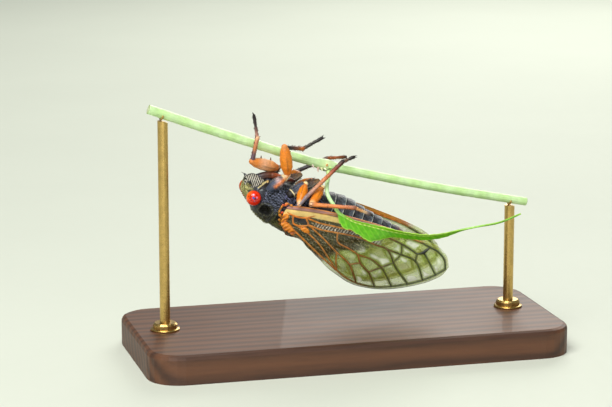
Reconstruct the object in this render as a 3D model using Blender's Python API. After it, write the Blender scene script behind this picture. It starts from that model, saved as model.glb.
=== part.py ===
"""A periodical cicada, life size, hanging back down under a thin green stem.

The insect is modelled in its own body frame, in millimetres:
    x runs from the front of the head to the tail, y to the insect's left, z out of its belly.
An empty carries that frame, tips the tail down and rolls the belly a little to one side.
The stem, its leaf and the display stand are modelled upright, with the origin under the
middle of the base. All meshes are turned into metres as they are made.
"""
import math

import bmesh
import bpy
import numpy as np
from mathutils import Matrix, Vector
from mathutils.geometry import delaunay_2d_cdt

# General sizes
MM = 0.001
GAP = 0.3
LEFT = 1
RIGHT = -1

# Pose of the body frame
HEAD_AT = Vector((-16.8, 0.0, 27.0))
TAIL_DOWN = math.radians(25.0)
ROLL = math.radians(7.0)

# Trunk, from head to tail: place, half width, depth on the back, depth on the belly
TRUNK = (
    (0.5, 0.0, 0.0, 0.25),
    (0.62, 0.9, 0.4, 0.85),
    (1.0, 1.6, 0.85, 1.45),
    (1.6, 2.1, 1.35, 1.85),
    (2.4, 2.5, 1.85, 2.05),
    (3.2, 3.1, 2.4, 2.3),
    (3.6, 3.7, 2.75, 2.6),
    (4.6, 4.0, 3.3, 2.8),
    (6.2, 4.15, 3.6, 3.0),
    (8.5, 4.15, 4.0, 3.2),
    (10.8, 3.95, 4.1, 3.5),
    (12.6, 3.55, 3.8, 3.9),
    (14.5, 3.35, 3.75, 4.6),
    (17.0, 3.25, 3.6, 4.8),
    (20.0, 2.9, 3.1, 4.4),
    (23.0, 2.35, 1.9, 4.0),
    (25.5, 1.7, 0.5, 3.75),
    (27.3, 1.0, -1.2, 3.5),
    (28.2, 0.35, -2.1, 3.05),
)
HEAD_END = 3.2
PRONOTUM_END = 6.3
THORAX_END = 12.7
TAIL_END = 28.2
ABDOMEN_RINGS = 8
RING_STEP = 0.22

# Head
EYE_RADIUS = 1.17
EYE_AT = (2.2, 3.0, -0.4)
FACE_AT = (1.85, 0.0, 1.0)
FACE_RADII = (1.5, 1.75, 1.52)
FACE_RIDGES = 9
RIDGE_HEIGHT = 0.09
ANTENNA_ROOT = (0.95, 1.75, 1.35)
ANTENNA_TIP = (0.45, 2.95, 1.35)
ANTENNA_RADII = (0.3, 0.25, 0.17, 0.1)
BEAK_PATH = ((3.1, 0.0, 2.9), (4.5, 0.0, 3.4), (6.2, 0.0, 3.7), (8.0, 0.0, 3.95))
BEAK_RADII = (0.62, 0.5, 0.4, 0.28)

# Legs: root, end of the coxa, knee, ankle, toe, all in the body frame
LEGS = {
    "front_right": ((4.1, -2.6, 1.9), (5.8, -2.05, 4.75), (3.15, -2.7, 8.7), (6.75, -0.1, 9.1), (9.0, 0.6, 11.7)),
    "front_left": ((4.2, 2.5, 2.0), (5.0, 1.5, 4.5), (0.1, -0.8, 4.3), (-0.75, -0.5, 8.0), (-2.6, 0.1, 10.85)),
    "middle_right": ((7.3, -2.8, 2.3), (8.95, -2.1, 4.5), (8.48, -5.2, 1.95), (13.14, -1.2, 9.9), (14.5, -0.9, 11.2)),
    "middle_left": ((7.3, 2.7, 2.4), (8.9, 2.1, 4.6), (8.3, 4.4, 3.9), (12.2, 3.35, 8.6), (13.9, 0.9, 10.35)),
    "hind_right": ((10.6, -2.0, 3.4), (11.8, -1.7, 4.9), (10.25, -5.3, 2.62), (16.2, -7.0, 5.1), (18.9, -7.5, 5.2)),
    "hind_left": ((10.6, 2.0, 3.4), (11.8, 1.7, 4.9), (10.3, 5.3, 2.5), (16.8, 6.7, 2.2), (19.4, 6.9, 1.5)),
}
COXA_RADIUS = 0.74
# Radius at the root, the middle and the end of each length of leg
FEMUR_RADII = {"front": (0.55, 0.9, 0.55), "middle": (0.45, 0.7, 0.42), "hind": (0.45, 0.68, 0.42)}
TIBIA_RADII = {"front": (0.36, 0.33, 0.36), "middle": (0.38, 0.33, 0.33), "hind": (0.36, 0.3, 0.3)}
TARSUS_RADII = (0.3, 0.28, 0.27)
SPUR_LENGTH = 0.95
SPUR_RADIUS = 0.26
CLAW_LENGTH = 0.75
CLAW_RADIUS = 0.25

# Wings: along the front edge, its half span and height, and the slope of the wing across it
WING_ROOT_X = 7.4
WING_STATIONS = (0.0, 5.0, 11.0, 19.0, 25.0, 29.5)
WING_HALF_SPAN = (4.35, 4.55, 4.95, 4.35, 3.15, 2.2)
WING_HEIGHT = (0.95, 2.3, 3.35, 3.95, 4.0, 3.4)
WING_SLOPE = (78.0, 76.0, 75.0, 76.0, 79.0, 83.0)
WING_CAMBER = 0.9
WING_WIDTH = 11.3
MEMBRANE = 0.5
VEIN_HEIGHT = 0.25
VEIN_HALF_WIDTH = 0.3
VEIN_STEP = 1.5
HINDWING_DEPTH = 1.1

# Joints of the wing veins: distance along the front edge and distance across the wing
FORE_JOINTS = {
    "root": (0.1, 1.0), "root_back": (0.3, 2.5), "cell_root": (1.3, 1.5), "cell_top": (3.3, 1.6),
    "cell_low": (4.1, 2.7), "cell_back": (1.9, 2.8), "costa_a": (5.0, 0.7), "costa_b": (11.0, 0.6),
    "node": (17.0, 0.6), "edge_a": (21.4, 0.55), "edge_b": (24.2, 0.8), "edge_c": (26.3, 1.0),
    "edge_d": (27.7, 1.6), "rim_a": (28.5, 2.7), "rim_b": (27.4, 4.3), "rim_c": (25.9, 6.1),
    "rim_d": (24.0, 7.9), "rim_e": (21.9, 9.4), "rim_f": (19.5, 10.6), "rim_g": (16.4, 11.1),
    "rim_h": (14.4, 10.7), "clavus_tip": (12.3, 9.8), "radius_a": (5.7, 2.1), "radius_b": (8.0, 2.1),
    "radius_c": (11.6, 1.95), "radius_d": (15.0, 1.5), "radius_e": (19.4, 1.75), "radius_f": (22.7, 2.5),
    "spot": (23.6, 1.9), "media_a": (6.3, 3.1), "media_b": (8.9, 3.0), "media_c": (12.3, 2.8),
    "media_d": (15.4, 3.2), "media_e": (17.5, 3.3), "media_f": (18.8, 4.2), "media_g": (19.7, 5.1),
    "media_h": (20.1, 3.4), "media_i": (23.0, 3.7), "fork_a": (9.6, 4.4), "fork_b": (11.8, 5.1),
    "fork_c": (13.6, 5.7), "fork_d": (14.8, 7.0), "fork_e": (16.9, 8.2), "fork_f": (16.1, 5.8),
    "fork_g": (18.3, 6.6), "cubitus_a": (6.7, 4.1), "cubitus_b": (10.4, 6.3), "cubitus_c": (13.4, 7.9),
    "cubitus_d": (15.0, 9.5), "cubitus_e": (11.3, 8.2), "fold_a": (3.9, 3.7), "fold_b": (7.2, 5.6),
    "fold_c": (10.0, 7.9), "hem_a": (3.8, 4.8), "hem_b": (8.3, 7.6),
}
FORE_VEINS = (
    ("root", "cell_root", "cell_top", "costa_a", "costa_b", "node", "edge_a", "edge_b", "edge_c", "edge_d", "rim_a"),
    ("rim_a", "rim_b", "rim_c", "rim_d", "rim_e", "rim_f", "rim_g", "rim_h", "clavus_tip"),
    ("cell_root", "cell_back", "cell_low", "cell_top"),
    ("root_back", "hem_a", "hem_b", "clavus_tip"),
    ("cell_back", "fold_a", "fold_b", "fold_c", "clavus_tip"),
    ("cell_top", "radius_a", "radius_b", "radius_c", "radius_d", "radius_e", "radius_f"),
    ("radius_f", "spot", "edge_b"),
    ("spot", "rim_b"),
    ("cell_low", "media_a", "media_b", "media_c", "media_d", "media_e", "media_f", "media_g", "rim_d"),
    ("media_e", "media_h", "media_i", "rim_c"),
    ("radius_e", "media_h", "media_g"),
    ("radius_f", "media_i"),
    ("media_b", "fork_a", "fork_b", "fork_c", "fork_d", "fork_e", "rim_f"),
    ("fork_c", "fork_f", "fork_g", "rim_e"),
    ("fork_e", "fork_g", "media_g"),
    ("cell_low", "cubitus_a", "cubitus_b", "cubitus_c", "cubitus_d", "rim_g"),
    ("cubitus_b", "cubitus_e", "clavus_tip"),
    ("cubitus_c", "fork_d"),
)
FORE_OUTLINE = (
    (-0.1, 0.2), (1.0, 0.0), (5.0, 0.0), (11.0, 0.0), (17.0, 0.0), (22.0, 0.0), (25.6, 0.2), (27.8, 0.9),
    (28.9, 2.1), (28.6, 3.6), (27.2, 5.6), (25.2, 7.6), (22.6, 9.6), (19.6, 11.1), (16.6, 11.7), (13.8, 11.1),
    (11.6, 10.2), (8.4, 8.3), (4.4, 5.6), (1.7, 4.3), (0.2, 3.2), (-0.3, 1.6),
)
HIND_JOINTS = {
    "root": (1.2, 2.2), "front_a": (6.0, 2.1), "front_b": (11.5, 2.6), "tip": (15.6, 4.6), "fan_a": (8.5, 4.2),
    "fan_b": (12.4, 5.4), "back_a": (13.9, 7.2), "back_b": (11.0, 8.2), "fan_c": (7.0, 5.4), "back_c": (7.6, 7.4),
}
HIND_VEINS = (
    ("root", "front_a", "front_b", "tip"),
    ("root", "fan_a", "fan_b", "back_a"),
    ("root", "fan_c", "back_b"),
    ("fan_c", "back_c"),
    ("front_b", "fan_b"),
)
HIND_OUTLINE = (
    (1.2, 1.5), (6.0, 1.5), (11.5, 1.8), (15.4, 3.4), (16.4, 5.2), (15.2, 7.2), (12.6, 8.5), (9.4, 8.7),
    (6.4, 7.4), (3.4, 4.8), (1.4, 3.0),
)

# Stem: place along x and height of its centre line, both from the head
STEM_X = (-13.8, -6.0, 2.0, 14.0, 21.3, 31.2, 47.4)
STEM_Z = (12.2, 9.25, 6.35, 2.2, 0.3, -2.05, -5.45)
STEM_Y = 0.85
STEM_RADIUS = 0.73
STEM_TAPER = 0.08
STEM_SEGMENTS = 22
STEM_SIDES = 14
BUD_X = 14.2
BUD_SWELL = 0.28
BUD_LENGTH = 1.3

# Leaf: its stalk and midrib in the stem's frame, from the head. The blade is wide below the midrib
# near the stalk, then narrow and turned nearly level
STALK_PATH = (
    (14.35, -0.45, 1.2), (13.9, -1.5, 0.55), (13.3, -2.9, -0.5), (13.1, -3.9, -1.35), (13.3, -4.8, -2.15), (13.7, -5.6, -2.95),
)
MIDRIB_PATH = (
    (14.2, -6.1, -3.85), (16.3, -6.5, -5.3), (19.0, -6.7, -6.2), (22.3, -6.9, -7.15), (25.5, -6.9, -7.85),
    (28.0, -6.9, -8.2), (30.4, -6.8, -8.15), (33.7, -6.7, -7.6), (37.1, -6.5, -7.2), (40.5, -6.2, -6.85), (44.0, -6.0, -5.8),
)
LEAF_SPOTS = (0.0, 0.03, 0.055, 0.1, 0.14, 0.2, 0.25, 0.3, 0.4, 0.5, 0.6, 0.7, 0.85, 1.0)
LEAF_LOWER = (0.25, 1.0, 1.45, 1.3, 1.7, 2.2, 1.7, 1.1, 1.0, 1.05, 1.0, 0.8, 0.6, 0.1)
LEAF_UPPER = (0.15, 0.2, 0.3, 0.35, 0.4, 0.45, 0.6, 0.7, 0.85, 0.95, 0.95, 0.75, 0.55, 0.1)
LEAF_TURN = (0.0, 0.0, 2.0, 4.0, 6.0, 10.0, 25.0, 42.0, 55.0, 56.0, 56.0, 68.0, 64.0, 50.0)
LEAF_TEETH = 16
LEAF_TOOTH = 0.13
LEAF_THICKNESS = 0.5
STALK_RADIUS = 0.26

# Stand
BASE_SIZE = (67.0, 30.0, 4.5)
BASE_CORNER = 5.0
BASE_EDGE = 0.7
ROD_RADIUS = 0.8
ROD_PLACES = {"stand_rod_left": -11.6, "stand_rod_right": 44.6}
ROD_FOOT_RADIUS = 1.9
ROD_FOOT_HEIGHT = 0.9


# Curves and values between stations
def between(stations, values, at):
    """Smooth value at a place between stations, by cubic pieces that pass through each value."""
    stations = np.asarray(stations, float)
    values = np.asarray(values, float)
    slopes = np.gradient(values, stations, axis=0)
    at = np.asarray(at, float)
    left = np.clip(np.searchsorted(stations, at) - 1, 0, len(stations) - 2)
    width = stations[left + 1] - stations[left]
    t = (at - stations[left]) / width
    if values.ndim > 1:
        t = t[..., None]
        width = width[..., None]
    near = values[left] * (2 * t**3 - 3 * t**2 + 1) + slopes[left] * width * (t**3 - 2 * t**2 + t)
    far = values[left + 1] * (3 * t**2 - 2 * t**3) + slopes[left + 1] * width * (t**3 - t**2)
    return near + far


def along(path, count):
    """Evenly spaced parameters and smooth points along a path of a few points."""
    path = np.asarray(path, float)
    reach = np.concatenate([[0.0], np.cumsum(np.linalg.norm(np.diff(path, axis=0), axis=1))])
    at = np.linspace(0.0, reach[-1], count)
    return at / reach[-1], between(reach, path, at)


# Meshes and objects
def make_node(name, points, faces):
    """One mesh object from points in millimetres."""
    mesh = bpy.data.meshes.new(name)
    mesh.from_pydata((np.asarray(points) * MM).tolist(), [], faces)
    mesh.validate()
    obj = bpy.data.objects.new(name, mesh)
    bpy.context.scene.collection.objects.link(obj)
    face_outward(obj)
    return obj


def face_outward(obj):
    """Turn the faces of a closed mesh outward and split them into triangles."""
    bm = bmesh.new()
    bm.from_mesh(obj.data)
    bmesh.ops.recalc_face_normals(bm, faces=bm.faces)
    bmesh.ops.triangulate(bm, faces=bm.faces)
    if bm.calc_volume(signed=True) < 0:
        bmesh.ops.reverse_faces(bm, faces=bm.faces)
    bm.to_mesh(obj.data)
    bm.free()


def loft_faces(rings, sides):
    """Faces of a tube of closed rings, with one more point in the middle of each end."""
    faces = []
    for i in range(rings - 1):
        for j in range(sides):
            a = i * sides + j
            b = i * sides + (j + 1) % sides
            faces.append((a, b, b + sides, a + sides))
    first = rings * sides
    last = first + 1
    for j in range(sides):
        faces.append((first, (j + 1) % sides, j))
        start = (rings - 1) * sides
        faces.append((last, start + j, start + (j + 1) % sides))
    return faces


def loft(name, rings):
    """Closed solid through a stack of rings, each an array of points."""
    rings = np.asarray(rings, float)
    count, sides, _ = rings.shape
    points = np.concatenate([rings.reshape(-1, 3), rings[:1].mean(axis=1), rings[-1:].mean(axis=1)])
    return make_node(name, points, loft_faces(count, sides))


def tube_rings(path, radii, sides, flat=1.0):
    """Rings square to a path, with a radius for each point; flat squeezes them one way."""
    path = np.asarray(path, float)
    ahead = np.gradient(path, axis=0)
    ahead /= np.linalg.norm(ahead, axis=1)[:, None]
    side = np.cross(ahead[0], (0.0, 1.0, 0.2))
    rings = []
    turn = np.arange(sides) * 2 * math.pi / sides
    for point, direction, radius in zip(path, ahead, radii):
        side = side - direction * side.dot(direction)
        side /= np.linalg.norm(side)
        other = np.cross(direction, side)
        circle = np.cos(turn)[:, None] * side * flat + np.sin(turn)[:, None] * other
        rings.append(point + radius * circle)
    return np.array(rings)


def round_ends(path, radii, steps=2):
    """Add the shrinking rings of a round end before and after a path."""
    path = np.asarray(path, float)
    radii = np.asarray(radii, float)
    angles = np.linspace(math.radians(80), 0.0, steps + 1)[:-1]
    first = (path[0] - path[1]) / np.linalg.norm(path[0] - path[1])
    last = (path[-1] - path[-2]) / np.linalg.norm(path[-1] - path[-2])
    head = path[0] + first * radii[0] * np.sin(angles)[:, None]
    tail = path[-1] + last * radii[-1] * np.sin(angles)[::-1, None]
    head_radii = radii[0] * np.cos(angles)
    tail_radii = radii[-1] * np.cos(angles)[::-1]
    return np.concatenate([head, path, tail]), np.concatenate([head_radii, radii, tail_radii])


def ball(name, center, radii, rings=10, sides=16, ridges=0, ridge_height=0.0):
    """Ellipsoid with its poles on x; ridges run across it like the staves of a barrel's hoops."""
    polar = np.linspace(0.0, math.pi, rings + 1)[1:-1]
    turn = np.arange(sides) * 2 * math.pi / sides
    swell = 1.0 + ridge_height * (np.arange(rings - 1) % 2) * (ridges > 0)
    stack = np.empty((rings - 1, sides, 3))
    stack[..., 0] = -np.cos(polar)[:, None]
    stack[..., 1] = (np.sin(polar) * swell)[:, None] * np.cos(turn)
    stack[..., 2] = (np.sin(polar) * swell)[:, None] * np.sin(turn)
    stack = stack.reshape(-1, 3) * radii + np.asarray(center)
    poles = np.array([(-radii[0], 0.0, 0.0), (radii[0], 0.0, 0.0)]) + np.asarray(center)
    return make_node(name, np.concatenate([stack, poles]), loft_faces(rings - 1, sides))


def combine(obj, tools, operation):
    """Join the tools to an object, or cut them from it, and keep the largest closed surface."""
    group = bpy.data.collections.new("tools")
    bpy.context.scene.collection.children.link(group)
    for tool in tools:
        bpy.context.scene.collection.objects.unlink(tool)
        group.objects.link(tool)
    boolean = obj.modifiers.new("combine", "BOOLEAN")
    boolean.operand_type = "COLLECTION"
    boolean.collection = group
    boolean.operation = operation
    boolean.solver = "EXACT"
    bpy.context.view_layer.objects.active = obj
    bpy.ops.object.modifier_apply(modifier=boolean.name)
    for tool in tools:
        bpy.data.objects.remove(tool)
    bpy.data.collections.remove(group)
    keep_largest(obj)


def keep_largest(obj):
    """Keep the largest connected surface of a mesh and merge points that coincide."""
    bm = bmesh.new()
    bm.from_mesh(obj.data)
    bmesh.ops.remove_doubles(bm, verts=bm.verts, dist=0.0002 * MM)
    left = set(bm.verts)
    groups = []
    while left:
        group = [left.pop()]
        for vert in group:
            for edge in vert.link_edges:
                other = edge.other_vert(vert)
                if other in left:
                    left.remove(other)
                    group.append(other)
        groups.append(group)
    groups.sort(key=len)
    for group in groups[:-1]:
        bmesh.ops.delete(bm, geom=group, context="VERTS")
    bmesh.ops.triangulate(bm, faces=bm.faces)
    bm.to_mesh(obj.data)
    bm.free()


def cut_by_plane(obj, point, normal):
    """Cut away what lies ahead of a plane and close the cut."""
    bm = bmesh.new()
    bm.from_mesh(obj.data)
    geometry = list(bm.verts) + list(bm.edges) + list(bm.faces)
    result = bmesh.ops.bisect_plane(
        bm, geom=geometry, dist=0.001 * MM, plane_co=Vector(point) * MM, plane_no=Vector(normal), clear_outer=True
    )
    edges = [item for item in result["geom_cut"] if isinstance(item, bmesh.types.BMEdge)]
    rim = [edge for edge in edges if edge.is_boundary]
    bmesh.ops.edgeloop_fill(bm, edges=rim)
    bmesh.ops.triangulate(bm, faces=bm.faces)
    bmesh.ops.recalc_face_normals(bm, faces=bm.faces)
    bm.to_mesh(obj.data)
    bm.free()


def paint(obj, color, roughness=0.5, metallic=0.0):
    """Give an object its own material."""
    material = bpy.data.materials.new(obj.name)
    material.use_nodes = True
    shader = material.node_tree.nodes["Principled BSDF"]
    shader.inputs["Base Color"].default_value = (*color, 1.0)
    shader.inputs["Roughness"].default_value = roughness
    shader.inputs["Metallic"].default_value = metallic
    material.diffuse_color = (*color, 1.0)
    obj.data.materials.clear()
    obj.data.materials.append(material)
    obj.data.shade_smooth()
    obj.data.set_sharp_from_angle(angle=math.radians(40))
    return obj


# Trunk
def trunk_ring(x, sides, grow=0.0, swell=1.0):
    """Cross-section of the trunk: a rounded outline, deeper or flatter on the belly and the back."""
    places = [station[0] for station in TRUNK]
    width, back, belly = between(places, [station[1:] for station in TRUNK], x)
    middle = (belly - back) / 2
    width = width * swell + grow
    depth = (belly + back) / 2 * swell + grow
    turn = np.arange(sides) * 2 * math.pi / sides
    across = np.sign(np.cos(turn)) * np.abs(np.cos(turn)) ** 0.92
    up = np.sign(np.sin(turn)) * np.abs(np.sin(turn)) ** 0.92
    return np.stack([np.full(sides, x), width * across, middle + depth * up], axis=1)


def trunk_piece(name, places, sides=28, grow=0.0, swells=None):
    swells = [1.0] * len(places) if swells is None else swells
    return loft(name, [trunk_ring(x, sides, grow, swell) for x, swell in zip(places, swells)])


def trunk_cutter(start=3.0, end=16.0):
    """The trunk made thicker by the gap, to cut the roots of what stands on it."""
    return trunk_piece("cutter", np.linspace(start, end, 24), 28, GAP)


def mirrored(point, side):
    """A point on the insect's left, or the same on its right."""
    return np.array((point[0], point[1] * side, point[2]))


def make_head():
    places = np.array([0.52, 0.6, 0.75, 0.95, 1.25, 1.6, 2.0, 2.5, 2.9, HEAD_END])
    head = trunk_piece("head", places)
    face = ball("face", FACE_AT, FACE_RADII, 2 * FACE_RIDGES, 16, FACE_RIDGES, RIDGE_HEIGHT)
    sockets = [
        ball("socket", mirrored(ANTENNA_ROOT, side) + (0.25, -0.3 * side, -0.25), (0.75, 0.75, 0.7), 7, 12)
        for side in (LEFT, RIGHT)
    ]
    rims = [ball("rim", mirrored(EYE_AT, side) + (0.12, -0.75 * side, 0), (1.12, 0.9, 1.2), 8, 14) for side in (LEFT, RIGHT)]
    combine(head, [face] + sockets + rims, "UNION")
    reach = EYE_RADIUS + GAP
    cups = [ball("cup", mirrored(EYE_AT, side), (reach, reach, reach), 10, 16) for side in (LEFT, RIGHT)]
    combine(head, cups, "DIFFERENCE")
    cut_by_plane(head, (HEAD_END, 0, 0), (1, 0, 0))
    paint(head, (0.05, 0.055, 0.06), 0.45)
    for side, label in ((LEFT, "left"), (RIGHT, "right")):
        eye = ball("eye_" + label, mirrored(EYE_AT, side), (EYE_RADIUS,) * 3, 10, 16)
        paint(eye, (0.75, 0.06, 0.015), 0.15)
        root = mirrored(ANTENNA_ROOT, side)
        tip = mirrored(ANTENNA_TIP, side)
        lead = (tip - root) / np.linalg.norm(tip - root)
        start = root + lead * (0.45 + GAP)
        path = np.linspace(start, tip, len(ANTENNA_RADII))
        path, radii = round_ends(path, ANTENNA_RADII)
        antenna = loft("antenna_" + label, tube_rings(path, radii, 8))
        paint(antenna, (0.02, 0.02, 0.02), 0.4)
    _, path = along(BEAK_PATH, 8)
    radii = np.interp(np.linspace(0, 3, 8), range(4), BEAK_RADII)
    beak = loft("rostrum", tube_rings(*round_ends(path, radii), 10))
    combine(beak, [trunk_cutter(2.0, 14.0)], "DIFFERENCE")
    paint(beak, (0.1, 0.07, 0.06), 0.4)


def make_trunk():
    start = HEAD_END + GAP
    places = [start, start + 0.25, 4.2, 4.8, 5.4, 5.9, PRONOTUM_END - 0.25, PRONOTUM_END]
    swells = [0.93, 1.0, 0.985, 1.0, 0.98, 1.02, 1.035, 1.0]
    pronotum = trunk_piece("pronotum", places, 32, 0.0, swells)
    paint(pronotum, (0.03, 0.033, 0.03), 0.45)
    start = PRONOTUM_END + GAP
    places = [start, start + 0.3, 7.4, 8.4, 9.4, 10.4, 11.2, 11.9, THORAX_END]
    swells = [0.96, 1.0, 1.0, 1.0, 1.0, 1.0, 1.0, 1.0, 0.95]
    thorax = trunk_piece("mesothorax", places, 32, 0.0, swells)
    arms = [scutellum_arm(x, y) for x in (-0.9, 0.9) for y in (-1.0, 1.0)]
    combine(thorax, arms, "UNION")
    paint(thorax, (0.025, 0.025, 0.022), 0.35)
    start = THORAX_END + GAP
    places = []
    swells = []
    edges = np.linspace(start, TAIL_END - 1.0, ABDOMEN_RINGS + 1)
    for left, right in zip(edges[:-1], edges[1:]):
        places += [left, left + 0.35, right - RING_STEP]
        swells += [0.95, 0.975, 1.0]
    places += [TAIL_END - 1.0, TAIL_END - 0.5, TAIL_END]
    swells += [0.93, 0.95, 0.9]
    abdomen = trunk_piece("abdomen", places, 24, 0.0, swells)
    paint(abdomen, (0.04, 0.035, 0.035), 0.4)


def scutellum_arm(x, y):
    """One arm of the raised cross at the rear of the thorax's back."""
    top = -between([s[0] for s in TRUNK], [s[2] for s in TRUNK], 11.0)
    path = np.array([(11.0, 0.0, top - 0.05), (11.0 + x, 1.1 * y, top + 0.12), (11.0 + 1.5 * x, 1.8 * y, top + 0.6)])
    return loft("arm", tube_rings(*round_ends(path, (0.42, 0.38, 0.3)), 8))


# Legs
def spike(point, direction, length, radius):
    """A small tapered spike with its root sunk into what it grows from."""
    point = np.asarray(point, float)
    direction = np.asarray(direction, float)
    direction = direction / np.linalg.norm(direction)
    path = np.array([point, point + direction * length * 0.6, point + direction * length])
    return loft("spike", tube_rings(path, (radius, radius * 0.75, radius * 0.3), 6))


def joint_plane(before, joint, after):
    """Direction of the plane that parts two lengths of leg at their joint."""
    inward = (joint - before) / np.linalg.norm(joint - before)
    outward = (after - joint) / np.linalg.norm(after - joint)
    normal = inward + outward
    return normal / np.linalg.norm(normal)


def leg_length(name, start, end, radii, sides, before=None, after=None, extras=()):
    """A tapered length of leg from joint to joint, mitred where it meets its neighbours."""
    rings = 5
    t = np.linspace(0.0, 1.0, rings)
    path = start + (end - start) * t[:, None]
    widths = between((0.0, 0.5, 1.0), radii, t)
    steps = 2 if sides > 8 else 1
    obj = loft(name, tube_rings(*round_ends(path, widths, steps), sides))
    if extras:
        combine(obj, list(extras), "UNION")
    if before is not None:
        normal = joint_plane(before, start, end)
        cut_by_plane(obj, start + normal * GAP / 2, -normal)
    if after is not None:
        normal = joint_plane(start, end, after)
        cut_by_plane(obj, end - normal * GAP / 2, normal)
    return obj


def make_legs():
    orange = (0.75, 0.26, 0.04)
    dark = (0.05, 0.035, 0.035)
    for label, joints in LEGS.items():
        pair = label.split("_")[0]
        root, hip, knee, ankle, toe = (np.array(joint) for joint in joints)
        coxa = leg_length("leg_" + label + "_coxa", root, hip, (COXA_RADIUS * 1.2, COXA_RADIUS, COXA_RADIUS * 0.8), 12, None, knee)
        combine(coxa, [trunk_cutter()], "DIFFERENCE")
        paint(coxa, (0.12, 0.11, 0.12), 0.45)
        bend = np.cross(knee - hip, ankle - knee)
        out = np.cross(bend, knee - hip)
        out /= np.linalg.norm(out)
        extras = ()
        if pair == "front":
            extras = [spike(hip + (knee - hip) * t, out * 1.2 + (knee - hip) * 0.08, 1.5, 0.3) for t in (0.35, 0.72)]
        femur = leg_length("leg_" + label + "_femur", hip, knee, FEMUR_RADII[pair], 10, root, ankle, extras)
        paint(femur, orange, 0.35)
        shin = (ankle - knee) / np.linalg.norm(ankle - knee)
        lean = np.cross(shin, bend / np.linalg.norm(bend))
        spurs = [spike(ankle - shin * 0.5, shin + lean * s, SPUR_LENGTH, SPUR_RADIUS) for s in (-0.75, 0.75)]
        tibia = leg_length("leg_" + label + "_tibia", knee, ankle, TIBIA_RADII[pair], 8, hip, toe, spurs)
        paint(tibia, orange, 0.35)
        foot = (toe - ankle) / np.linalg.norm(toe - ankle)
        wide = np.cross(foot, shin) if abs(foot.dot(shin)) < 0.98 else bend
        wide /= np.linalg.norm(wide)
        claws = [spike(toe - foot * 0.15, foot + wide * s, CLAW_LENGTH, CLAW_RADIUS) for s in (-0.8, 0.8)]
        tarsus = leg_length("leg_" + label + "_tarsus", ankle, toe, TARSUS_RADII, 7, knee, None, claws)
        paint(tarsus, dark, 0.4)


# Wings
def wing_point(a, b, side, lift=0.0):
    """A point of the roof-shaped wing: a along its front edge, b across it, lift off its face."""
    slope = np.radians(between(WING_STATIONS, WING_SLOPE, a))
    span = between(WING_STATIONS, WING_HALF_SPAN, a)
    height = between(WING_STATIONS, WING_HEIGHT, a)
    bulge = WING_CAMBER * 4 * (b / WING_WIDTH) * (1 - b / WING_WIDTH) + lift
    y = span - b * np.cos(slope) + bulge * np.sin(slope)
    z = height - b * np.sin(slope) - bulge * np.cos(slope)
    return np.stack([WING_ROOT_X + a, side * y, z], axis=-1)


def polyline(points, step):
    """Points about one step apart on a smooth line through a few points."""
    points = np.asarray(points, float)
    length = np.linalg.norm(np.diff(points, axis=0), axis=1).sum()
    return along(points, max(2, int(round(length / step)) + 1))[1]


def distance_to_lines(points, lines):
    """Shortest distance from each point to any of the lines."""
    best = np.full(len(points), 1e9)
    for line in lines:
        for start, end in zip(line[:-1], line[1:]):
            run = end - start
            t = np.clip(((points - start) @ run) / (run @ run), 0.0, 1.0)
            best = np.minimum(best, np.linalg.norm(points - start - t[:, None] * run, axis=1))
    return best


def wing_plan(outline, joints, veins):
    """Triangles of the flat wing, with an edge on every vein, and the height of each point."""
    closed = np.array(list(outline) + [outline[0]])
    rim = polyline(closed, VEIN_STEP)[:-1]
    points = list(rim)
    edges = [(i, (i + 1) % len(rim)) for i in range(len(rim))]
    lines = [polyline([joints[name] for name in vein], VEIN_STEP) for vein in veins]
    rim_line = [np.concatenate([rim, rim[:1]])]
    for line in lines:
        start = len(points)
        points += list(line)
        edges += [(start + i, start + i + 1) for i in range(len(line) - 1)]
    for line in lines:
        ahead = np.gradient(line, axis=0)
        ahead /= np.linalg.norm(ahead, axis=1)[:, None]
        across = np.stack([-ahead[:, 1], ahead[:, 0]], axis=1)
        for hand in (-1, 1):
            shore = line + across * VEIN_HALF_WIDTH * hand
            clear = distance_to_lines(shore, lines) > 0.9 * VEIN_HALF_WIDTH
            clear &= distance_to_lines(shore, rim_line) > 0.15
            start = len(points)
            points += list(shore[clear])
            place = start + np.cumsum(clear) - 1
            edges += [(place[i], place[i + 1]) for i in range(len(line) - 1) if clear[i] and clear[i + 1]]
    flat = [Vector(point) for point in points]
    edges = [(int(i), int(j)) for i, j in edges]
    loop = [list(range(len(rim)))]
    verts, _, faces, _, _, _ = delaunay_2d_cdt(flat, edges, loop, 1, 0.02)
    verts = np.array([tuple(vert) for vert in verts])
    height = VEIN_HEIGHT * np.clip(1.0 - distance_to_lines(verts, lines) / VEIN_HALF_WIDTH, 0.0, 1.0)
    return verts, [tuple(face) for face in faces], height


def wing(name, side, outline, joints, veins, depth):
    """A wing: the same triangles on both faces, and a wall along the rim."""
    plan, faces, height = wing_plan(outline, joints, veins)
    a = plan[:, 0]
    b = plan[:, 1]
    outer = wing_point(a, b, side, MEMBRANE / 2 + height - depth)
    inner = wing_point(a, b, side, -MEMBRANE / 2 - depth - 0.3 * height)
    count = len(plan)
    walls = {}
    for face in faces:
        for i in range(3):
            walls[(face[i], face[(i + 1) % 3])] = True
    rim = [edge for edge in walls if (edge[1], edge[0]) not in walls]
    all_faces = list(faces) + [tuple(i + count for i in reversed(face)) for face in faces]
    all_faces += [(i, i + count, j + count, j) for i, j in rim]
    return make_node(name, np.concatenate([outer, inner]), all_faces)


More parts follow.
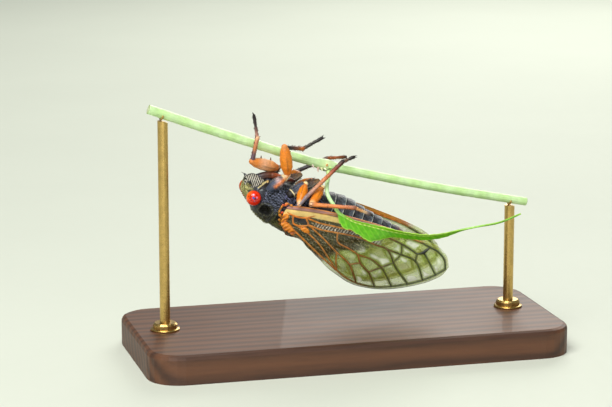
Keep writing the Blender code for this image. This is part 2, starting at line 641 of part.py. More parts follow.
def make_wings():
    for side, label in ((LEFT, "left"), (RIGHT, "right")):
        fore = wing("forewing_" + label, side, FORE_OUTLINE, FORE_JOINTS, FORE_VEINS, 0.0)
        combine(fore, [trunk_cutter()], "DIFFERENCE")
        paint(fore, (0.55, 0.6, 0.4), 0.2)
        hind = wing("hindwing_" + label, side, HIND_OUTLINE, HIND_JOINTS, HIND_VEINS, HINDWING_DEPTH)
        combine(hind, [trunk_cutter(3.0, 26.0)], "DIFFERENCE")
        paint(hind, (0.6, 0.62, 0.45), 0.2)


# Perch
def upright(point):
    """A point given from the head, in the frame of the stand."""
    return np.asarray(point, float) + np.array(HEAD_AT)


def stem_height(x):
    return between(STEM_X, STEM_Z, x)


def stem_radius(x):
    """Radius of the stem: a slow taper and a swelling where the leaf grows."""
    t = (x - STEM_X[0]) / (STEM_X[-1] - STEM_X[0])
    return STEM_RADIUS - STEM_TAPER * t + BUD_SWELL * np.exp(-(((x - BUD_X) / BUD_LENGTH) ** 2))


def make_perch():
    x = np.linspace(STEM_X[0], STEM_X[-1], STEM_SEGMENTS + 1)
    x = np.sort(np.concatenate([x, [BUD_X - 0.9, BUD_X, BUD_X + 0.9]]))
    path = upright(np.stack([x, np.full(len(x), STEM_Y), stem_height(x)], axis=1))
    stem = loft("perch_stem", tube_rings(path, stem_radius(x), STEM_SIDES))
    paint(stem, (0.45, 0.62, 0.25), 0.35)
    t, rib = along(MIDRIB_PATH, 2 * LEAF_TEETH + 1)
    turn = np.radians(between(LEAF_SPOTS, LEAF_TURN, t))
    halves = {-1: between(LEAF_SPOTS, LEAF_LOWER, t), 1: between(LEAF_SPOTS, LEAF_UPPER, t)}
    tooth = LEAF_TOOTH * (np.arange(len(t)) % 2)
    ahead = np.gradient(rib, axis=0)
    ahead /= np.linalg.norm(ahead, axis=1)[:, None]
    level = np.stack([np.zeros_like(turn), -np.sin(turn), np.cos(turn)], axis=1)
    level -= ahead * (level * ahead).sum(axis=1)[:, None]
    level /= np.linalg.norm(level, axis=1)[:, None]
    face = np.cross(ahead, level)
    rows = []
    for s in (-1.0, -0.5, 0.0, 0.5, 1.0):
        half = halves[1 if s > 0 else -1]
        half = (half + tooth * np.clip(half, 0.0, 1.0)) * abs(s)
        rows.append(rib + level * (half * np.sign(s))[:, None] + face * (0.25 * half)[:, None])
    grid = np.stack(rows, axis=1)
    normal = face[:, None, :] * LEAF_THICKNESS / 2
    blade = sheet("perch_leaf", upright(grid + normal), upright(grid - normal))
    stalk_points = np.concatenate([np.array(STALK_PATH), rib[[0, 3, 7]]])
    path = upright(along(stalk_points, 18)[1])
    radii = np.interp(np.linspace(0, 1, 18), (0.0, 0.2, 0.8, 1.0), (0.32, STALK_RADIUS, STALK_RADIUS, 0.2))
    stalk = loft("stalk", tube_rings(*round_ends(path, radii, 1), 8))
    combine(blade, [stalk], "UNION")
    paint(blade, (0.16, 0.5, 0.03), 0.35)


def sheet(name, upper, lower):
    """A closed thin sheet between two grids of points, split alike on both faces."""
    rows, columns, _ = upper.shape
    count = rows * columns
    faces = []
    for i in range(rows - 1):
        for j in range(columns - 1):
            a = i * columns + j
            b = a + columns
            for tri in ((a, b, b + 1), (a, b + 1, a + 1)):
                faces.append(tri)
                faces.append(tuple(v + count for v in reversed(tri)))
    rim = [i * columns for i in range(rows)]
    rim += [(rows - 1) * columns + j for j in range(1, columns)]
    rim += [i * columns + columns - 1 for i in range(rows - 2, -1, -1)]
    rim += [j for j in range(columns - 2, 0, -1)]
    for a, b in zip(rim, rim[1:] + rim[:1]):
        faces.append((a, a + count, b + count, b))
    return make_node(name, np.concatenate([upper.reshape(-1, 3), lower.reshape(-1, 3)]), faces)


# Stand
def make_stand():
    bm = bmesh.new()
    bmesh.ops.create_cube(bm, size=1.0)
    bmesh.ops.scale(bm, vec=Vector(BASE_SIZE) * MM, verts=bm.verts)
    bmesh.ops.translate(bm, vec=Vector((0, 0, BASE_SIZE[2] / 2)) * MM, verts=bm.verts)
    corners = [edge for edge in bm.edges if abs(edge.verts[0].co.z - edge.verts[1].co.z) > MM]
    bmesh.ops.bevel(bm, geom=corners, offset=BASE_CORNER * MM, segments=6, profile=0.5, affect="EDGES")
    top = [edge for edge in bm.edges if all(vert.co.z > BASE_SIZE[2] * MM - 1e-6 for vert in edge.verts)]
    bmesh.ops.bevel(bm, geom=top, offset=BASE_EDGE * MM, segments=2, profile=0.5, affect="EDGES")
    mesh = bpy.data.meshes.new("stand_base")
    bm.to_mesh(mesh)
    bm.free()
    base = bpy.data.objects.new("stand_base", mesh)
    bpy.context.scene.collection.objects.link(base)
    paint(base, (0.16, 0.08, 0.035), 0.4)
    for name, x in ROD_PLACES.items():
        foot = BASE_SIZE[2] + GAP
        top = HEAD_AT.z + float(stem_height(x)) - float(stem_radius(x)) - GAP
        heights = (foot, foot + ROD_FOOT_HEIGHT * 0.7, foot + ROD_FOOT_HEIGHT, foot + ROD_FOOT_HEIGHT, top)
        radii = (ROD_FOOT_RADIUS, ROD_FOOT_RADIUS, ROD_FOOT_RADIUS * 0.85, ROD_RADIUS, ROD_RADIUS)
        turn = np.arange(20) * 2 * math.pi / 20
        circle = np.stack([np.cos(turn), np.sin(turn), np.zeros(20)], axis=1)
        center = np.array((HEAD_AT.x + x, STEM_Y, 0.0))
        rings = [center + circle * radius + (0.0, 0.0, height) for height, radius in zip(heights, radii)]
        rod = loft(name, rings)
        trim_rod_top(rod, x)
        paint(rod, (0.62, 0.52, 0.33), 0.3, 1.0)


def trim_rod_top(rod, x):
    """Cut a rod's top so that it follows the slope of the stem above it."""
    slope = float(stem_height(x + 0.5) - stem_height(x - 0.5))
    normal = Vector((-slope, 0.0, 1.0)).normalized()
    point = Vector(upright((x, STEM_Y, float(stem_height(x))))) - normal * (float(stem_radius(x)) + GAP)
    cut_by_plane(rod, point, normal)


def pose_insect(names_before):
    """Hang the insect's nodes on an empty that sets its pose."""
    pose = bpy.data.objects.new("cicada_pose", None)
    bpy.context.scene.collection.objects.link(pose)
    turn = Matrix.Rotation(TAIL_DOWN, 4, "Y") @ Matrix.Rotation(ROLL, 4, "X")
    pose.matrix_world = Matrix.Translation(HEAD_AT * MM) @ turn
    for obj in list(bpy.context.scene.objects):
        if obj.type == "MESH" and obj.name not in names_before:
            obj.parent = pose


for old in list(bpy.data.objects):
    bpy.data.objects.remove(old)
make_stand()
make_perch()
fixed = {obj.name for obj in bpy.context.scene.objects}
make_head()
make_trunk()
make_legs()
make_wings()
pose_insect(fixed)
bpy.context.view_layer.update()
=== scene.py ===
# %% [markdown]
# # A periodical cicada hanging under a thin stem
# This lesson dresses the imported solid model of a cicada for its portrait. The solids carry the true
# sizes, so every new surface below starts from the same numbers and only adds what is too fine for
# them: sutures, hairs, veins, spines and colour. The model is in metres. The insect is worked out in
# its own frame, in millimetres, and turned into place at the end of each surface.

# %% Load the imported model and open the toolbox
import math

import bpy
import numpy as np
from mathutils import Matrix


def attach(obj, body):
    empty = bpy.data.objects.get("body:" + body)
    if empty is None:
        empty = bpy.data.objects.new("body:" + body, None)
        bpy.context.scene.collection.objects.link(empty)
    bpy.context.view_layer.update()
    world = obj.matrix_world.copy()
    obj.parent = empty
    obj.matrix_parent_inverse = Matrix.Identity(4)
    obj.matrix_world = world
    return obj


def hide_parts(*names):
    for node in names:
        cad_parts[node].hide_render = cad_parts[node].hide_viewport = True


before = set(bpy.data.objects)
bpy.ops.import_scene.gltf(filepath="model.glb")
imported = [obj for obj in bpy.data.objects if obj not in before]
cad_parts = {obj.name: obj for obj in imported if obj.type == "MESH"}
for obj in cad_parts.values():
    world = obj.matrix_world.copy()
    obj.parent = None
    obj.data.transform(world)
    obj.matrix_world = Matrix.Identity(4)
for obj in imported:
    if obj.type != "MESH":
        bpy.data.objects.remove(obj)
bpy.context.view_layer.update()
MM = 0.001
SIDES = ((-1, "right"), (1, "left"))

# %% [markdown]
# ## The frames
# The insect hangs belly up with its tail lower than its head. In its own frame x runs from the front
# of the head to the tail, y to its left and z out of its belly. Two turns and a shift carry a point
# from there into the stand's frame. Writing them as one matrix means that each surface can be shaped
# in easy coordinates, and yet its finished object sits at the origin with its place in its mesh.

# %% From the insect's frame to the stand's frame
HEAD_AT = np.array((-16.8, 0.0, 27.0))
TAIL_DOWN = math.radians(25.0)
ROLL = math.radians(7.0)
TURN_DOWN = np.array(
    ((math.cos(TAIL_DOWN), 0, math.sin(TAIL_DOWN)), (0, 1, 0), (-math.sin(TAIL_DOWN), 0, math.cos(TAIL_DOWN)))
)
TURN_ROLL = np.array(((1, 0, 0), (0, math.cos(ROLL), -math.sin(ROLL)), (0, math.sin(ROLL), math.cos(ROLL))))
BODY_TURN = TURN_DOWN @ TURN_ROLL


def from_body(points):
    """Insect's frame to stand's frame: turn by the roll, then by the tail's drop, then shift to the head."""
    return np.asarray(points) @ BODY_TURN.T + HEAD_AT


def from_head(points):
    """The perch is measured from the head but stays upright, so it is only shifted."""
    return np.asarray(points) + HEAD_AT


print("tail tip at", np.round(from_body((28.2, 0, 3.2)), 1))

# %% [markdown]
# ## Smooth values between stations
# Most natural forms are given here by a few stations, such as the body's width at nineteen places.
# A cubic through the stations makes them flow: between two neighbours it starts and ends at their
# values, with slopes taken from the stations on either side. It works on whole arrays at once.


# %% Values between stations and points along a path
def between(stations, values, at):
    """Cubic through the stations: h0 v0 + h1 w m0 + h2 v1 + h3 w m1, where t is the share of the way."""
    stations = np.asarray(stations, float)
    values = np.asarray(values, float)
    slopes = np.gradient(values, stations, axis=0)
    at = np.asarray(at, float)
    left = np.clip(np.searchsorted(stations, at) - 1, 0, len(stations) - 2)
    width = stations[left + 1] - stations[left]
    t = (at - stations[left]) / width
    if values.ndim > 1:
        t = t[..., None]
        width = width[..., None]
    near = values[left] * (2 * t**3 - 3 * t**2 + 1) + slopes[left] * width * (t**3 - 2 * t**2 + t)
    far = values[left + 1] * (3 * t**2 - 2 * t**3) + slopes[left + 1] * width * (t**3 - t**2)
    return near + far


def along(path, count):
    """Points evenly spaced on the cubic through a few points, and each one's share of the length."""
    path = np.asarray(path, float)
    reach = np.concatenate([[0.0], np.cumsum(np.linalg.norm(np.diff(path, axis=0), axis=1))])
    at = np.linspace(0.0, reach[-1], count)
    return at / reach[-1], between(reach, path, at)


def ease(x, low, high):
    """0 below low, 1 above high, and a smooth step 3t2 - 2t3 between."""
    t = np.clip((x - low) / (high - low), 0.0, 1.0)
    return t * t * (3 - 2 * t)


def bell(x, width=1.0):
    """A soft hump around zero: e to the power minus (x / width) squared."""
    return np.exp(-((x / width) ** 2))


def unit(v):
    """Vectors of length one."""
    return v / np.maximum(np.linalg.norm(v, axis=-1, keepdims=True), 1e-12)


def turns(count):
    """Angles evenly round a full turn, as one row."""
    return np.linspace(0, 2 * math.pi, count, endpoint=False)[None, :]


# %% [markdown]
# ## Colours and finishes
# A colour is picked as it looks on a screen and turned into linear light, which is what the shader
# reckons with. Each surface carries its large colour changes as an attribute called tint, worked out
# beside its shape, because a band or a spot then stays on the form it belongs to. The shader adds
# what is too fine for that: mottling, grain and pores from noise on object coordinates.


# %% Screen colours and a tint mixed in layers
def paint(code):
    """Six hex digits of screen colour to linear light: ((c + 0.055) / 1.055)^2.4. A ready colour stays."""
    if not isinstance(code, str):
        return code
    c = np.array([int(code[i : i + 2], 16) for i in (0, 2, 4)]) / 255.0
    return np.where(c <= 0.04045, c / 12.92, ((c + 0.055) / 1.055) ** 2.4)


def over(color, mask, coat):
    """Lay a coat over a colour by a mask: c + m (coat - c)."""
    return color + mask[..., None] * (paint(coat) - color)


def layers(base, shape, *coats):
    """Start with a base colour and lay each coat over it by its mask, held between 0 and 1."""
    color = np.broadcast_to(paint(base), shape + (3,)).astype(float)
    for mask, coat in coats:
        color = over(color, np.clip(mask, 0.0, 1.0), coat)
    return color


def stops(t, table):
    """Colour along a length: straight blends between stops, each a place and a colour code."""
    pairs = [stop.split() for stop in table.split(",")]
    places = [float(place) for place, _ in pairs]
    colors = np.array([paint(code) for _, code in pairs])
    return np.stack([np.interp(t, places, colors[:, i]) for i in range(3)], axis=-1)


BLACK = "17181a"
SLATE = "3a3e48"
MOSS = "757a45"
ORANGE = "e07a1c"
RUST = "a8481a"
PEACH_HIGHLIGHT = "eeb98c"
INK = "1c1718"
print("orange in linear light", np.round(paint(ORANGE), 3))


# %% [markdown]
# ## One finish for shell, film and leaf
# Horn, wing film, leaf and metal differ in gloss and grain, yet one recipe serves them all. Two noises
# on the object's own coordinates do the work: a broad one makes the colour lighter and darker in
# patches, and a fine one varies the gloss and lifts the surface as a bump. A painted image would need
# the surface unfolded first, while noise in space fits any shape as it is.

# %% A finish: tint, mottling, grain and gloss
SHEEN_WEIGHT, SHEEN_ROUGHNESS = 0.1, 0.4


def add_node(tree, kind, **inputs):
    """A shader node with some of its inputs set; an underscore in a name stands for a space."""
    made = tree.nodes.new(kind)
    for key, value in inputs.items():
        made.inputs[key.replace("_", " ")].default_value = value
    return made


def finish(name, grain=0.06, depth=0.01, mottle=0.35, patch=0.5, rough=(0.3, 0.5),
           alpha=False, metal=0.0, coat=0.0, tint=None, spec=0.5, sheen=None):
    """Procedural finish. Grain and patch are feature sizes in millimetres and depth is the bump's height."""
    material = bpy.data.materials.new(name)
    material.use_nodes = True
    tree = material.node_tree
    link = tree.links.new
    shader = tree.nodes["Principled BSDF"]
    settings = {"Metallic": metal, "Coat Weight": coat, "Specular IOR Level": spec}
    if sheen is not None:
        settings["Sheen Weight"] = SHEEN_WEIGHT
        settings["Sheen Roughness"] = SHEEN_ROUGHNESS
        settings["Sheen Tint"] = (*paint(sheen), 1.0)
    for key, value in settings.items():
        shader.inputs[key].default_value = value
    place = add_node(tree, "ShaderNodeTexCoord")
    fine = add_node(tree, "ShaderNodeTexNoise", Scale=1 / (grain * MM), Detail=4.0, Roughness=0.6)
    broad = add_node(tree, "ShaderNodeTexNoise", Scale=1 / (patch * MM), Detail=3.0, Roughness=0.55)
    for noise in (fine, broad):
        link(place.outputs["Object"], noise.inputs["Vector"])
    if tint is None:
        source = add_node(tree, "ShaderNodeAttribute")
        source.attribute_name = "tint"
    else:
        source = add_node(tree, "ShaderNodeRGB")
        source.outputs[0].default_value = (*paint(tint), 1.0)
    middle = {"From_Min": 0.3, "From_Max": 0.7}
    shade = add_node(tree, "ShaderNodeMapRange", To_Min=1.0 - mottle, To_Max=1.0 + mottle, **middle)
    link(broad.outputs["Fac"], shade.inputs["Value"])
    mixed = add_node(tree, "ShaderNodeVectorMath")
    mixed.operation = "SCALE"
    link(source.outputs["Color"], mixed.inputs[0])
    link(shade.outputs["Result"], mixed.inputs["Scale"])
    link(mixed.outputs["Vector"], shader.inputs["Base Color"])
    gloss = add_node(tree, "ShaderNodeMapRange", To_Min=rough[0], To_Max=rough[1], **middle)
    link(fine.outputs["Fac"], gloss.inputs["Value"])
    link(gloss.outputs["Result"], shader.inputs["Roughness"])
    bump = add_node(tree, "ShaderNodeBump", Strength=1.0, Distance=depth * MM)
    link(fine.outputs["Fac"], bump.inputs["Height"])
    link(bump.outputs["Normal"], shader.inputs["Normal"])
    if alpha:
        cover = add_node(tree, "ShaderNodeAttribute")
        cover.attribute_name = "cover"
        link(cover.outputs["Fac"], shader.inputs["Alpha"])
    return material


# %% [markdown]
# ## From arrays to a mesh
# Every surface here is a grid of points: rows along it, columns across or around it. Neighbouring
# points make four-sided faces, and a ring that must close ends in one pole point. Several grids can
# share one mesh, as the claws and the shin of one leg do. The arrays go into the mesh in one step,
# which is many times quicker than adding points one by one.


# %% Grids, closed ends and finished pieces
def grid(points, around=False, ends=False, **marks):
    """A surface from rows and columns of points. Quads join i, i+1 and j, j+1; poles close the ends."""
    rows, columns, _ = points.shape
    i = np.arange(rows - 1)[:, None] * columns
    j = np.arange(columns if around else columns - 1)[None, :]
    k = (j + 1) % columns
    quads = np.stack([i + j, i + k, i + k + columns, i + j + columns], axis=-1).reshape(-1, 4)
    flat = points.reshape(-1, 3)
    values = {key: np.asarray(mark).reshape(len(flat), -1) for key, mark in marks.items()}
    tris = np.empty((0, 3), int)
    if ends:
        flat = np.concatenate([flat, points[0].mean(0)[None], points[-1].mean(0)[None]])
        values = {key: np.concatenate([mark, mark[:1], mark[-1:]]) for key, mark in values.items()}
        j, k, last = j[0], k[0], (rows - 1) * columns
        first, final = np.full_like(j, rows * columns), np.full_like(j, rows * columns + 1)
        tris = np.concatenate([np.stack([first, k, j], 1), np.stack([final, last + j, last + k], 1)])
    return {"points": flat, "quads": quads, "tris": tris, "marks": values}


def closed(points, **marks):
    """A grid that runs all round and ends in poles, as every closed skin does."""
    return grid(points, around=True, ends=True, **marks)


def build(name, surfaces, material, nodes=(), place=from_body):
    """One mesh object from several surfaces, with its marks as attributes and its place in its mesh."""
    shift = np.cumsum([0] + [len(s["points"]) for s in surfaces])
    points = place(np.concatenate([s["points"] for s in surfaces])) * MM
    quads = np.concatenate([s["quads"] + n for s, n in zip(surfaces, shift)])
    tris = np.concatenate([s["tris"] + n for s, n in zip(surfaces, shift)])
    mesh = bpy.data.meshes.new(name)
    mesh.vertices.add(len(points))
    mesh.vertices.foreach_set("co", points.astype(np.float32).ravel())
    corners = np.concatenate([quads.ravel(), tris.ravel()]).astype(np.int32)
    mesh.loops.add(len(corners))
    mesh.loops.foreach_set("vertex_index", corners)
    sizes = np.concatenate([np.full(len(quads), 4), np.full(len(tris), 3)])
    mesh.polygons.add(len(sizes))
    mesh.polygons.foreach_set("loop_start", np.concatenate([[0], np.cumsum(sizes)[:-1]]).astype(np.int32))
    mesh.update(calc_edges=True)
    for key in surfaces[0]["marks"]:
        values = np.concatenate([s["marks"][key] for s in surfaces])
        if key == "patch":
            layer = mesh.uv_layers.new(name="OFBake")
            layer.data.foreach_set("uv", values[corners].astype(np.float32).ravel())
        elif values.shape[1] == 3:
            data = mesh.attributes.new(key, "FLOAT_COLOR", "POINT")
            full = np.concatenate([values, np.ones((len(values), 1))], axis=1)
            data.data.foreach_set("color", full.astype(np.float32).ravel())
        else:
            data = mesh.attributes.new(key, "FLOAT", "POINT")
            data.data.foreach_set("value", values.astype(np.float32).ravel())
    mesh.polygons.foreach_set("use_smooth", np.full(len(sizes), True))
    mesh.materials.append(material)
    piece = bpy.data.objects.new(name, mesh)
    bpy.context.scene.collection.objects.link(piece)
    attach(piece, "root")
    if nodes:
        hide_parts(*nodes)
    print(name, len(quads) * 2 + len(tris), "triangles")


# %% [markdown]
# ## Tubes
# Legs, veins, feelers and the stem are all a ring carried along a path. The ring stands square to
# the path: one arm of it is the path's direction crossed with a fixed vector, and the other arm is
# square to both. A list of radii gives the taper, and half circles of shrinking rings round the ends.


# %% A ring carried along a path
def tube(path, radii, sides=16, flat=1.0, lean=(0.0, 0.0, 1.0), shape=None, **marks):
    """Point = path + r (flat cos(t) side + sin(t) other), for t around the ring; shape scales r by (s, t)."""
    path = np.asarray(path, float)
    ahead = unit(np.gradient(path, axis=0))
    side = unit(np.cross(ahead, np.asarray(lean, float)))
    other = np.cross(ahead, side)
    turn = np.arange(sides) * 2 * math.pi / sides
    share = np.linspace(0.0, 1.0, len(path))
    reach = np.broadcast_to(np.asarray(radii, float)[:, None], (len(path), sides))
    if shape is not None:
        reach = reach * shape(share[:, None], turn[None, :])
    circle = flat * np.cos(turn)[None, :, None] * side[:, None] + np.sin(turn)[None, :, None] * other[:, None]
    points = path[:, None] + reach[..., None] * circle
    full = {}
    for key, value in marks.items():
        full[key] = np.broadcast_to(np.asarray(value)[:, None], (len(path), sides) + np.shape(value)[1:])
    return closed(points, **full)


def rounded(path, radii, steps=4):
    """Add half circles to both ends of a path: outward r sin(a) while the radius goes as r cos(a)."""
    path = np.asarray(path, float)
    radii = np.asarray(radii, float)
    a = np.linspace(math.radians(86), 0.0, steps + 1)[:-1]
    first, last = unit(path[0] - path[1]), unit(path[-1] - path[-2])
    head = path[0] + first * radii[0] * np.sin(a)[:, None]
    tail = path[-1] + last * radii[-1] * np.sin(a)[::-1, None]
    radii = np.concatenate([radii[0] * np.cos(a), radii, radii[-1] * np.cos(a)[::-1]])
    return np.concatenate([head, path, tail]), radii


# %% [markdown]
# ## The trunk
# Nineteen stations give the body's half width and its depth on the back and on the belly. A section
# at any place is an oval whose corners are a touch fuller than an ellipse's, because the cosine and
# sine are raised to a power just under one. Head, collar, thorax and abdomen all grow from this one
# function, so that they line up like the plates of a real insect.

# %% The trunk as a function of place and turn
TRUNK = np.array((
    (0.5, 0.0, 0.0, 0.25), (0.62, 0.9, 0.4, 0.85), (1.0, 1.6, 0.85, 1.45), (1.6, 2.1, 1.35, 1.85),
    (2.4, 2.5, 1.85, 2.05), (3.2, 3.1, 2.4, 2.3), (3.6, 3.7, 2.75, 2.6), (4.6, 4.0, 3.3, 2.8),
    (6.2, 4.15, 3.6, 3.0), (8.5, 4.15, 4.0, 3.2), (10.8, 3.95, 4.1, 3.5), (12.6, 3.55, 3.8, 3.9),
    (14.5, 3.35, 3.75, 4.6), (17.0, 3.25, 3.6, 4.8), (20.0, 2.9, 3.1, 4.4), (23.0, 2.35, 1.9, 4.0),
    (25.5, 1.7, 0.5, 3.75), (27.3, 1.0, -1.2, 3.5), (28.2, 0.35, -2.1, 3.05),
))


def trunk(x, turn, lift=0.0):
    """y = (w + lift) cos|cos|^-0.08 and z = middle + (d + lift) sin|sin|^-0.08: an oval a touch full."""
    width, back, belly = np.moveaxis(between(TRUNK[:, 0], TRUNK[:, 1:], x), -1, 0)
    across = np.sign(np.cos(turn)) * np.abs(np.cos(turn)) ** 0.92
    up = np.sign(np.sin(turn)) * np.abs(np.sin(turn)) ** 0.92
    y = (np.maximum(width, 0.0) + lift) * across
    z = (belly - back) / 2 + (np.maximum((belly + back) / 2, 0.0) + lift) * up
    return np.stack([x + 0 * y, y, z], axis=-1)


def near(points, center, reach):
    """A soft round spot: e to the power minus (distance / reach) squared."""
    return np.exp(-np.sum((points - np.asarray(center)) ** 2, axis=-1) / reach**2)


def waves(points, seed, size=1.0):
    """Cheap smooth noise: a sum of sine waves that run in many directions, between about -1 and 1."""
    maker = np.random.default_rng(seed)
    total = 0.0
    for _ in range(7):
        push = maker.normal(size=3) * 2.2 / size
        total = total + np.sin(points @ push + maker.uniform(0, 6.28))
    return total / 3.2


def near_line(points, start, end, reach):
    """A soft bar on both flanks: 1 where the distance to a line, seen from the side, is under its reach."""
    flat = points[..., [0, 2]]
    start, end = np.asarray(start), np.asarray(end)
    t = np.clip(((flat - start) @ (end - start)) / ((end - start) @ (end - start)), 0, 1)
    away = np.linalg.norm(flat - start - t[..., None] * (end - start), axis=-1)
    return (1 - ease(away, 0.7 * reach, 1.3 * reach)) * ease(np.abs(points[..., 1]), 0.8, 1.3)


# %% [markdown]
# ## Down
# The sides of the body and the edges of its plates carry a short down, grey below and golden on the
# back. Each tuft is three thin hairs from one root, and each hair a closed spike with three sides, so
# it survives as plain mesh. Roots are picked at random where a mask asks for hair, and the hairs lean
# back along the body as real ones do. The whole coat is made as arrays, with no loop over hairs.


# %% Tufts of short hair on a skin
HAIRS_PER_TUFT = 3
HAIR_RADII = (0.014, 0.011)
PATCH_RADIUS = 0.0015


def down_coat(skin, mask, count, length, colors, seed, lean=0.7):
    """Hair = root + s L (normal + lean back + spread), a spike of three sides mapped at its root's place."""
    maker = np.random.default_rng(seed)
    rows, columns, _ = skin.shape
    across = np.roll(skin, -1, axis=1) - np.roll(skin, 1, axis=1)
    ahead = np.gradient(skin, axis=0)
    normal = unit(np.cross(across, ahead))
    outward = skin - skin.mean(axis=1, keepdims=True)
    normal = normal * np.sign(np.sum(normal * outward, axis=-1, keepdims=True) + 1e-9)
    area = np.linalg.norm(np.cross(across, ahead), axis=-1)
    chance = (area * np.clip(mask, 0, 1)).ravel()
    pick = np.repeat(maker.choice(len(chance), count, p=chance / chance.sum()), HAIRS_PER_TUFT)
    root, out = skin.reshape(-1, 3)[pick], normal.reshape(-1, 3)[pick]
    way = unit(out + np.array((lean, 0.0, 0.0)) + maker.normal(size=out.shape) * 0.22)
    side = unit(np.cross(way, (0.31, 0.2, 0.93)))
    other = np.cross(way, side)
    size = length * maker.uniform(0.55, 1.15, len(pick))[:, None, None]
    turn = np.arange(3) * 2 * math.pi / 3
    circle = np.cos(turn)[:, None] * side[:, None] + np.sin(turn)[:, None] * other[:, None]
    foot = root[:, None] - 0.02 * out[:, None] + HAIR_RADII[0] * circle
    bend = np.array((0.25 * lean, 0.0, 0.0)) * size
    knee = root[:, None] + way[:, None] * size * 0.55 + HAIR_RADII[1] * circle + bend * 0.3
    tip = root[:, None] + way[:, None] * size + bend
    points = np.concatenate([foot, knee, tip], axis=1)
    start = np.arange(len(pick))[:, None] * 7
    j, k = np.arange(3), (np.arange(3) + 1) % 3
    quads = (start[:, :, None] + np.stack([j, k, k + 3, j + 3], axis=1)[None]).reshape(-1, 4)
    tris = (start[:, :, None] + np.stack([j + 3, k + 3, np.full(3, 6)], axis=1)[None]).reshape(-1, 3)
    tris = np.concatenate([tris, (start + np.array((2, 1, 0))[None])])
    share = np.array((0, 0, 0, 0.55, 0.55, 0.55, 1.0))[None, :, None]
    dark, light = paint(colors[0]), paint(colors[1])
    tint = dark + (light - dark) * share * maker.uniform(0.5, 1.0, (len(pick), 1, 1))
    place = np.stack([pick // columns / rows, pick % columns / columns], axis=-1)[:, None]
    disc = np.stack([np.cos(turn), np.sin(turn)], -1)
    patch = np.clip(place, 0.002, 0.998) + PATCH_RADIUS * np.concatenate([disc, disc * 0.6, np.zeros((1, 2))])[None]
    marks = {"tint": tint.reshape(-1, 3), "patch": patch.reshape(-1, 2)}
    return {"points": points.reshape(-1, 3), "quads": quads, "tris": tris, "marks": marks}


hair_shine = finish("hair_shine", grain=0.05, depth=0.002, mottle=0.25, patch=0.4, rough=(0.45, 0.6))
GREY_HAIR = ("3c4456", "8f93ac")
GOLD_HAIR = ("6a6a34", "b4b070")

# %% [markdown]
# ## The head
# The real head is one black capsule: a bulging face crossed by pale ridges, a flat top between the
# eyes, two sockets for the feelers and a raised rim round each eye. Sculpting by hand would do, but a
# formula is easier to mend. From the body's axis a ray goes out at each turn. It meets the trunk's
# oval and a few ellipsoids, and the skin lies at the farthest of them, with the joins filled softly.


# %% Rays to ellipsoids, and a soft largest of two
def lobe(x, turn, axis, center, radii):
    """Far root of a t2 + b t + c = 0, where the ray (t cos, axis + t sin) meets the ellipsoid's slice at x."""
    (cx, cy, cz), (rx, ry, rz) = center, radii
    share = 1.0 - ((x - cx) / rx) ** 2
    a = (np.cos(turn) / ry) ** 2 + (np.sin(turn) / rz) ** 2
    b = 2 * (-np.cos(turn) * cy / ry**2 + np.sin(turn) * (axis - cz) / rz**2)
    c = (cy / ry) ** 2 + ((axis - cz) / rz) ** 2 - share
    inside = b * b - 4 * a * c
    return np.where((share > 0) & (inside > 0), (-b + np.sqrt(np.maximum(inside, 0))) / (2 * a), 0.0)


def soft_most(a, b, blend):
    """The larger of two, plus (blend - |a - b|) squared / 4 blend where they are close."""
    return np.maximum(a, b) + np.maximum(blend - np.abs(a - b), 0.0) ** 2 / (4 * blend)


# %% [markdown]
# ## The head's skin
# On the real head the face dome carries some nine pale ridges, over the muscles that suck up sap. The
# skin is cut in rings from front to back, and each ring asks how far its rays go. The ridges are a
# cosine of the place in space, so they run across the dome as even slices. Colour and shape share
# their masks, and so the pale lines always lie on the crests.

# %% The head's skin
EYE_AT = np.array((2.2, 3.0, -0.4))
EYE_RADIUS = 1.17
FACE_AT = (1.85, 0.0, 1.0)
FACE_RADII = (1.52, 1.8, 1.52)
FEELER_ROOT = np.array((0.95, 1.75, 1.35))
FEELER_TIP = np.array((0.45, 2.95, 1.35))
FRONT = (0.34, 0.52)
RIDGE_STEP = 0.265
RIDGE_HEIGHT = 0.05
CREAM_BAR = ((2.41, 1.15), (3.8, 2.83))
UNDER_BAR = np.array(CREAM_BAR) + (0.12, -0.24)


